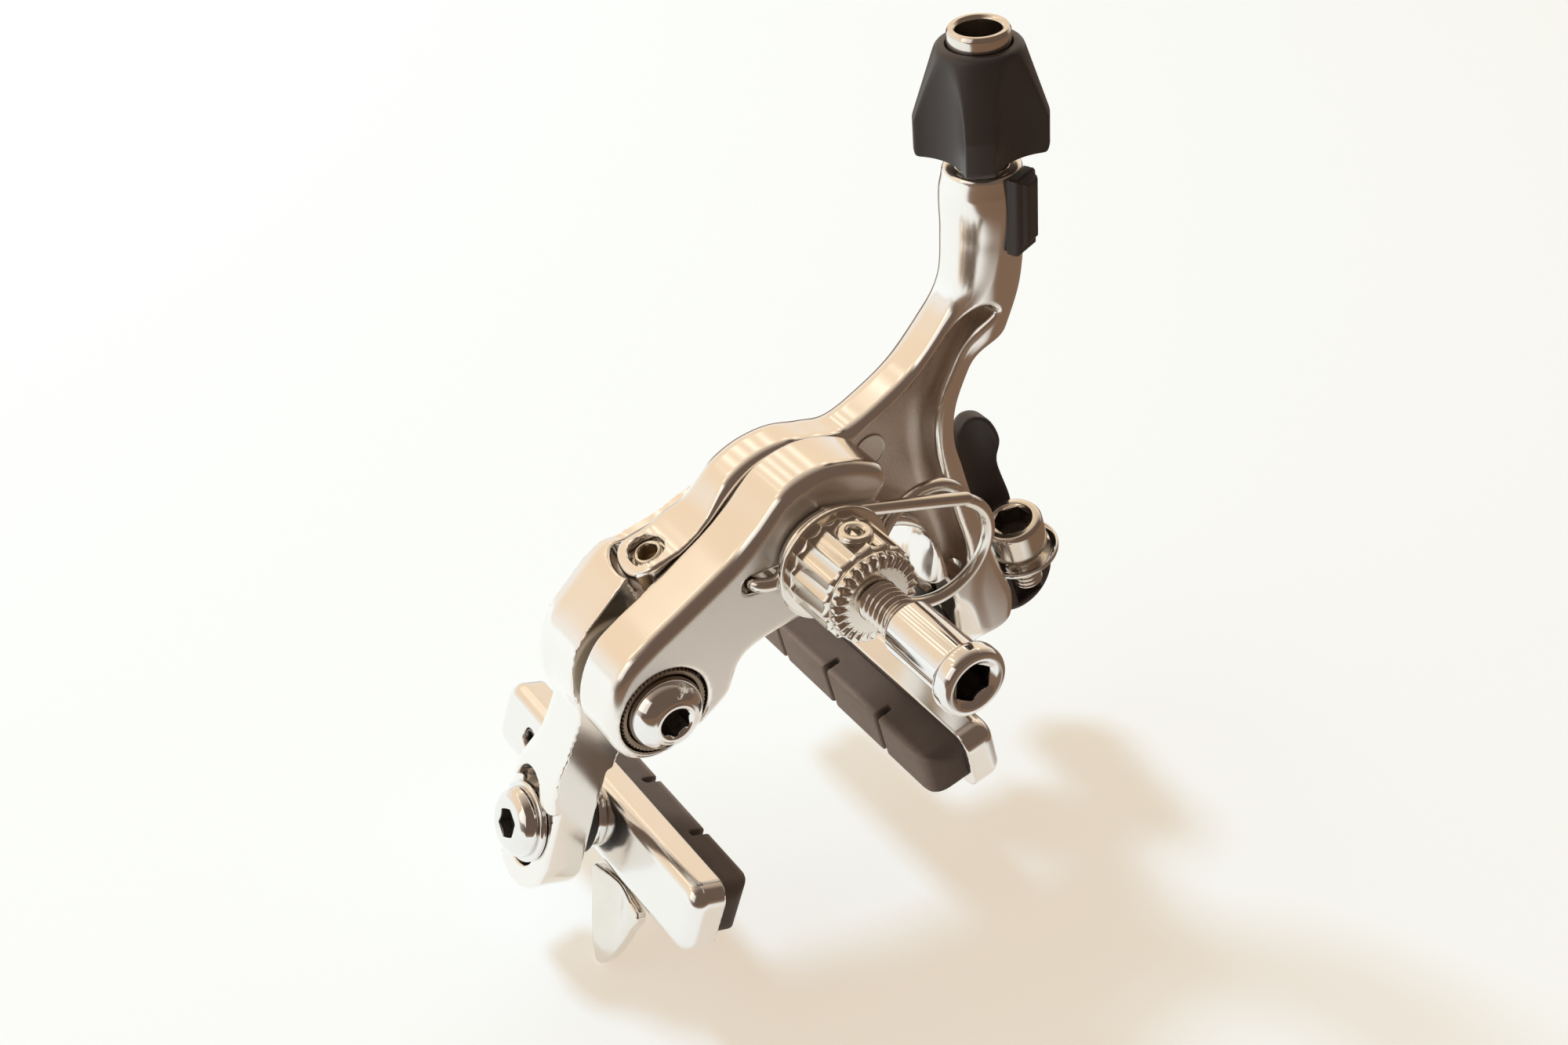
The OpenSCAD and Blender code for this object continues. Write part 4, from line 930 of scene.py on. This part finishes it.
# %% Knob, tube and clip
def knob(columns=480):
    """Radius at height h and angle a: soft minimum of the wing profile at h and of the scoop circle at
    a."""
    h = np.concatenate([[0, 0.06], np.linspace(0.2, 14.2, 60), np.linspace(14.3, 15.2, 9)])
    wing = np.interp(h, [0, 0.06, 0.25, 0.6, 5, 14.2, 14.7, 15.0, 15.2],
                     [8.7, 8.85, 9.0, 9.1, 9.1, 6.1, 5.9, 5.65, 5.3])
    turn = np.linspace(0, 2 * np.pi, columns, endpoint=False)
    off = np.abs((turn - np.radians(7) + np.pi / 4) % (np.pi / 2) - np.pi / 4)
    away, scoop_r = 14, 8
    inside = np.clip(scoop_r ** 2 - (away * np.sin(off)) ** 2, 0, None)
    scoop = np.where(np.sin(off) < scoop_r / away, away * np.cos(off) - np.sqrt(inside), 30)
    k = 0.45
    mix = np.clip(0.5 + 0.5 * (scoop[None] - wing[:, None]) / k, 0, 1)
    r = scoop[None] * (1 - mix) + wing[:, None] * mix - k * mix * (1 - mix)
    inner = np.full((1, columns), 4.3)
    r = np.vstack([inner, r, inner + 0.25, inner])
    place = np.concatenate([[0], h, [15.2, 14.8]]) + 2.3
    return skin(rings(BARREL, place[:, None], r, turn), True)


put("adjuster_knob", knob(), "knob", PLASTIC, ["adjuster_knob"], crease=50)
rows = [[1.2, -9], [3.2, -9], [3.5, -8.7], [3.5, 3], [4.25, 3], [4.25, 19.1], [3.95, 19.68], [3.45, 19.7],
        [3.05, 19.3], [3.05, 9.0], [2.7, 8.6], [2.3, 8.4], [1.2, 5]]
turned("adjuster_tube", rows, BARREL, "tube", NICKEL, fillet=0.14)


def clip_field(x, y, z):
    """A rounded saddle on the boss with a narrower rib on it."""
    t, s, c = local(BARREL, x, y, z)
    a = np.radians(110)
    out, side = s * np.cos(a) + c * np.sin(a), -s * np.sin(a) + c * np.cos(a)
    base = rounded(np.maximum(np.abs(side) - 2.35, np.abs(t + 5.8) - 5.7), np.abs(out - 6.0) - 1.2, 0.7)
    rib = rounded(np.maximum(np.abs(side) - 1.5, np.abs(t + 5.2) - 4.6), np.abs(out - 6.8) - 1.3, 0.7)
    return carve(meld(base, rib, 0.6), np.hypot(s, c) - 5.25, 0.2)


surface = forge(clip_field, *room("barrel_clip"), 0.22)
put("boss_clip", surface, "inner_arm", PLASTIC, ["barrel_clip"])
rows = [[0.1, -6.4], [1.7, -6.4], [2.0, -6.0], [2.0, 0.9], [1.85, 1.2], [1.6, 1.2], [1.45, 1.05]]
socketed("centring_screw", rows, 2.6, 1.8, SCREW, "screw", BRASS_SCREW, 0.15, 96)

# %% [markdown]
# ## Pads
# Each pad is a rubber block in an aluminium holder with a pointed guide. The rubber has rounded corners and
# three narrow grooves. These are soft-edged blocks, so they are forged too, in the leg's own directions.

# %% Holders, rubber and guides
PACK, HOLDER_T, GROOVE_GAP, SCREW_AT, GUIDE_AT = {1: 3.6, -1: 5.6}, 5.4, 13.75, 19.5, 10.5
GUIDE = Outline([(-6, -0.62), (6, -0.62), (5.6, -5.04), (3.4, -10.92), (0.6, -14), (-2.2, -11.48),
                 (-5, -5.32)], 0.25)
INSET = {1: 0, -1: 3.6}
NAME = {1: "left", -1: "right"}
BODY = {1: "outer_arm", -1: "inner_arm"}


def pill(v, w, half_v, half_w, r):
    """A rectangle with rounded corners."""
    a, b = np.abs(v) - half_v + r, np.abs(w) - half_w + r
    return np.minimum(np.maximum(a, b), 0) + np.hypot(np.maximum(a, 0), np.maximum(b, 0)) - r


def holder_field(side):
    def field(x, y, z):
        """A rounded tray: outer block with a large outer edge, less the rubber's pocket and two holes."""
        u, v, w = leg_space(side, x, y, z)
        h = u + PACK[side] + HOLDER_T
        body = slab(pill(v, w, 28.78, 5.6, 3.0), h, 0.0, HOLDER_T, 0.35, 2.2)
        body = carve(body, np.maximum(pill(v, w, 27.5, 4.3, 3.6), h - 3), 0.3)
        body = carve(body, np.hypot(v, w) - 3.05, 0.3)
        return carve(body, np.hypot(v + SCREW_AT, w) - 1.65, 0.4)
    return field


def pad_field(side):
    def field(x, y, z):
        """A block whose braking face has rounded ends, less three grooves across it."""
        u, v, w = leg_space(side, x, y, z)
        h = u + PACK[side] + HOLDER_T
        body = slab(pill(v, w, 27.4, 4.2, 2.6), h, -6.0, 2.9, 0.6, 0.3)
        body = -meld(-body, -rounded(np.abs(v) - 27.4, -6.0 - h, 4.5), 0.4)
        gap = np.abs(v - np.clip(np.round(v / GROOVE_GAP), -1, 1) * GROOVE_GAP) - 0.5
        return carve(body, rounded(gap, h + 3.0, 0.4), 0.35)
    return field


def guide_field(side):
    def field(x, y, z):
        """A pointed leaf under the holder, dished on the side away from the wheel."""
        u, v, w = leg_space(side, x, y, z)
        h = u + PACK[side] + 1.8
        flat = GUIDE(v - GUIDE_AT, w + 5.6)
        dish = np.hypot((v - GUIDE_AT) * 1.3, (w + 9.5) * 0.8)
        return slab(flat, h, 0.0, 1.8 - 1.0 * (1 - ramp(dish, 0, 6.5)), 0.4, 0.4)
    return field


for side in (1, -1):
    name, body = NAME[side], BODY[side]
    surface = forge(holder_field(side), *room(f"{name}_holder"), 0.4)
    put(f"{name}_pad_holder", surface, body, HOLDER, [f"{name}_holder"])
    surface = forge(pad_field(side), *room(f"{name}_pad"), 0.4)
    u, v, w = leg_space(side, *surface[0].T)
    dust = ramp(-(u + PACK[side] + HOLDER_T), 4.6, 5.9)
    put(f"{name}_pad_rubber", surface, body, RUBBER, [f"{name}_pad"], {"dust": dust})
    surface = forge(guide_field(side), *room(f"{name}_guide"), 0.3)
    put(f"{name}_pad_guide", surface, body, NICKEL, [f"{name}_guide"])

# %% [markdown]
# The pad bolts are chromed, with low domed heads and hexagon sockets, over a plain washer. On the inside a
# cup washer and a ball washer let the pad be set to the rim.

# %% Pad bolts and washers
for side in (1, -1):
    name, body, pack = NAME[side], BODY[side], PACK[side]
    rows = [[0.1, -3.8 - pack], [2.6, -3.8 - pack], [3.0, -3.4 - pack], [3.0, 8.0], [5.1, 8.0], [5.2, 8.2],
            [5.2, 8.7], [4.7, 9.7], [3.7, 10.3], [2.9, 10.4], [2.6, 10.4]]
    socketed(f"{name}_pad_bolt", rows, 4.0, 2.0, BOLT[side], body, CHROME, 0.3)
    rows = [[3.05, 7.0], [5.9, 7.0], [6.0, 7.2], [6.0, 7.7], [5.7, 8.0], [3.05, 8.0]]
    turned(f"{name}_bolt_washer", rows, BOLT[side], body, CHROME, fillet=0.15)
    middle, back = -pack / 2, INSET[side]
    rows = [[3.05, middle], [5.3, middle], [6.0, middle + 0.4], [6.0, back - 0.2], [5.8, back],
            [3.05, back]]
    turned(f"{name}_cup_washer", rows, BOLT[side], body, WASHER_PLASTIC)
    rows = [[3.05, -pack], [5.2, -pack], [5.4, -pack + 0.3], [5.2, middle - 0.4], [4.6, middle],
            [3.05, middle]]
    turned(f"{name}_ball_washer", rows, BOLT[side], body, CHROME, fillet=0.25)
    origin, along, across, up = BOLT[side]
    spot = axis(origin - SCREW_AT * np.array((0, 1, 0)), along, across)
    base = -pack - HOLDER_T + 3
    rows = [[0.1, base], [1.5, base], [1.6, base + 0.15], [1.6, base + 1.9], [1.4, base + 2.1],
            [1.2, base + 2.1]]
    socketed(f"{name}_pad_screw", rows, 2.0, 1.0, spot, body, DARK_STEEL, 0.1, 72)

# %% [markdown]
# ## Quick release
# A small lever turns on a pin at the end of the arch and moves the cable's anchor. The lever is moulded;
# the anchor is a nickelled socket bolt that clamps the wire on a chromed dished washer.

# %% Lever, anchor and clamp
finger_points = [(-1.8, 7.8), (-0.5, 12.9), (2.6, 20.2), (2.7, 24.8), (5.4, 28.8), (8.8, 29), (10.4, 24.8),
                 (9.2, 16.8), (7, 9)]
finger_shape = Outline([*around(LEV, (6.2, 150)), *(LEV + finger_points), *around(LEV, (5.6, 30))], 0.3)


def lever_field(x, y, z):
    """A round body along the pin and a flat finger, less the pin's bore, the clip's groove, the clamp's
    seat and its bolt hole."""
    t, s, c = local(ANCHOR, x, y, z)
    ring = np.hypot(s, c)
    front, back = -38.9, -29.5
    body = slab(post(x, z, LEV, 6.55), y, front, back, 1.4, 1.4)
    body = meld(body, slab(finger_shape(x, z), y, front, front + 5, 1.6, 1.6), 2.0)
    body = np.maximum(body, front - y)
    body = carve(body, np.maximum(post(x, z, LEV, 2.54), y + 31.0), 0.3)
    body = carve(body, np.maximum(post(x, z, LEV, 3.6), np.abs(y + 32) - 0.5), 0.1)
    body = carve(body, np.maximum(-3.7 - t, ring - 6.9), 0.5)
    return carve(body, np.maximum(ring - 2.55, np.abs(t + 6) - 8), 0.3)


surface = forge(lever_field, *room("release_lever"), 0.36)
put("release_lever", surface, "release", PLASTIC, ["release_lever"])
rows = [[2.55, -2.7], [3.6, -2.7], [5.2, -2.4], [6.0, -1.8], [6.3, -2.0], [6.2, -2.6], [5.2, -3.3],
        [2.55, -3.6]]
turned("clamp_plate", rows, ANCHOR, "release", CHROME, fillet=0.3, columns=120)
ridges = np.stack([np.tile([2.1, 2.5], 9), np.linspace(-9.4, -2.2, 18)], -1).tolist()
rows = [[0.1, -9.6], [1.8, -9.6], *ridges, [2.5, -1], [4.6, -1], [4.75, -0.8], [4.8, 3.9], [4.4, 4.6],
        [3.4, 4.6], [3.1, 4.4]]
socketed("anchor_bolt", rows, 5.2, 3.2, ANCHOR, "release", NICKEL, 0.3)
rows = [[0.1, -49.4], [2.6, -49.4], [3.7, -48.6], [3.7, -46.9], [2.5, -46.9], [2.5, -31.6], [2.2, -31.3],
        [0.1, -31.3]]
pin = lathe(soften(rows, 0.3, False), LEVER, None, 72)
put("lever_pin", pin, "outer_arm", NICKEL, ["lever_pin"])
rows = [[2.52, -32.3], [3.4, -32.3], [3.5, -32.2], [3.5, -31.8], [3.4, -31.7], [2.52, -31.7]]
turned("lever_clip_ring", rows, LEVER, "outer_arm", DARK_STEEL, "lever_clip", 0.1, 72)

# %% [markdown]
# ## Stamped disc
# A small smooth disc is pressed into the grainy hollow. It could be a mark in the arm's finish, but a low
# turned disc catches the light along its raised rim as a real one does.

# %% Disc in the hollow
DISC = axis((-18.2, -28.0, 2.2), (0, 1, 0), (1, 0, 0))
rows = [[0.05, 0.12], [2.3, 0.12], [2.4, 0.24], [2.75, 0.24], [2.75, -0.3], [0.05, -0.3]]
disc = lathe(soften(rows, 0.08, False), DISC)
put("hollow_disc", disc, "inner_arm", STAMPED)

# %% [markdown]
# ## Finishes of the hidden pieces
# Bushes and thrust washers are hidden, so they keep their CAD shapes, which are plain rings. They only take
# a finish: bronze for the bushes and white nylon for the washers.

# %% CAD nodes that stay
kept = {"centre_washer": NYLON, "front_washer": NYLON, "side_washer": NYLON, "centre_bush": BRONZE,
        "side_bush": BRONZE}
for node, finish in kept.items():
    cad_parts[node].data.materials.clear()
    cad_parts[node].data.materials.append(finish.material)
print("bushes and washers finished:", ", ".join(kept))

# %% [markdown]
# ## Floor
# The object stands on a plain white sheet. The sheet is white to the camera and to reflections, and still
# takes a soft shadow, because a weak glow is added to a matte white. Some way behind the caliper's back and
# beyond its lever, the sheet is painted dim brown for reflections alone: a painted dark reflection that
# stands for a dim room, because polished metal needs something dark to mirror, or it looks flat.

# %% Floor
ground, reach = cad_box[0][2], 3
corners = [(x * reach, y * reach, ground) for x, y in ((-1, -1), (1, -1), (1, 1), (-1, 1))]
sheet = bpy.data.meshes.new("floor")
sheet.from_pydata(corners, [], [(0, 1, 2, 3)])
floor = bpy.data.objects.new("floor", sheet)
bpy.context.scene.collection.objects.link(floor)
paper = Finish("white_sheet")
camera_ray, glossy_ray, clear_ray = (paper.add("ShaderNodeLightPath", out=n) for n in (0, 3, 6))
seen = camera_ray + glossy_ray + clear_ray
seen = seen.maths("MINIMUM", seen, 1.0)
spot = paper.place()
east, north = (paper.add("ShaderNodeSeparateXYZ", None, {0: spot}, out=n) for n in (0, 1))
# painted dark reflection: where glossy rays meet the sheet behind the caliper or beyond its lever, it is
# painted dim brown to stand for a dark room
far = north.maths("MAXIMUM", north.between(68, 96), (0 - east).between(50, 78))
painted_dark_reflection = far * glossy_ray
glow = paper.tint(glossy_ray, (0.60, 0.445, 0.30), (0.68, 0.55, 0.43))
glow = paper.tint(painted_dark_reflection, glow, (0.05, 0.03, 0.02))
glow = paper.add("ShaderNodeEmission", None, {"Color": glow, "Strength": seen})
white = paper.tint(seen, (0.80, 0.77, 0.73), (0.42, 0.67, 0.90))
matte = paper.add("ShaderNodeBsdfDiffuse", None, {"Color": paper.tint(painted_dark_reflection, white, (0.22, 0.16, 0.12))})
both = paper.add("ShaderNodeAddShader", None, {0: glow, 1: matte})
paper.links.new(both.socket, paper.nodes["Material Output"].inputs["Surface"])
sheet.materials.append(paper.material)
print("floor at", round(ground * 1000, 1), "mm")

# %% [markdown]
# ## Light
# A key lamp stands in front and throws the shadow towards the camera; a weak fill opens the left side. The
# rest of the light is the room, written as the world's colour with the same formulas as a finish: warm and
# bright in front with a row of lit strips, which the upper edges mirror, and dim behind the camera.

# %% Lamps
def softbox(name, spot, aim, size, power, colour):
    """A square area light that looks from spot to aim, both in metres."""
    lamp = bpy.data.objects.new(name, bpy.data.lights.new(name, "AREA"))
    bpy.context.scene.collection.objects.link(lamp)
    lamp.data.shape, lamp.data.size, lamp.data.energy, lamp.data.color = "SQUARE", size, power, colour
    away = np.array(spot, float) - np.array(aim, float)
    _, back, up, _ = axis(spot, away, (0, 0, 1))
    matrix = np.eye(4)
    matrix[:3, :4] = np.stack([np.cross(up, back), up, back, spot], -1)
    lamp.matrix_world = Matrix(matrix.tolist())
    return lamp


softbox("key", (0.25, -0.85, 1.2), (0, 0, 0), 0.25, 9.5, (0.95, 0.98, 1)).visible_glossy = False
softbox("fill", (1.1, 0.1, 0.6), (0, 0, 0), 0.8, 1.6, (1, 0.97, 0.94))
print("two softboxes")


# %% The room as a world colour
class Sky(Finish):
    """The world's colour, written with the same formulas as a finish."""

    def __init__(self, name):
        world = bpy.data.worlds.new(name)
        bpy.context.scene.world = world
        world.use_nodes = True
        self.nodes, self.links = world.node_tree.nodes, world.node_tree.links
        self.shader = self.nodes["Background"]


sky = Sky("studio")
way = sky.add("ShaderNodeTexCoord", out=0)
east, north, up = (sky.add("ShaderNodeSeparateXYZ", None, {0: way}, out=n) for n in range(3))
front = (0 - north).between(-0.2, 0.35)
warm = sky.tint(up.between(0.05, 0.40), (1.0, 0.96, 0.91), (1.0, 0.80, 0.58))
warm = sky.tint(up.between(0.70, 0.95), warm, (0.55, 0.46, 0.38))
bars = east.maths("SINE", east * 36).between(0.3, 0.7)
bars = bars * up.between(0.60, 0.63) * (1 - up.between(0.72, 0.75)) * front
room_light = sky.tint(bars * 0.7, sky.tint(front, (0.15, 0.105, 0.08), warm), (2.0, 1.85, 1.6))
seen = sky.add("ShaderNodeLightPath", out=0)
sky.feed(color=sky.tint(seen, room_light, (0.97, 0.96, 0.93)), strength=1.0)
bpy.context.scene.view_settings.view_transform = "Standard"
print("a warm room,", len(sky.nodes), "nodes")
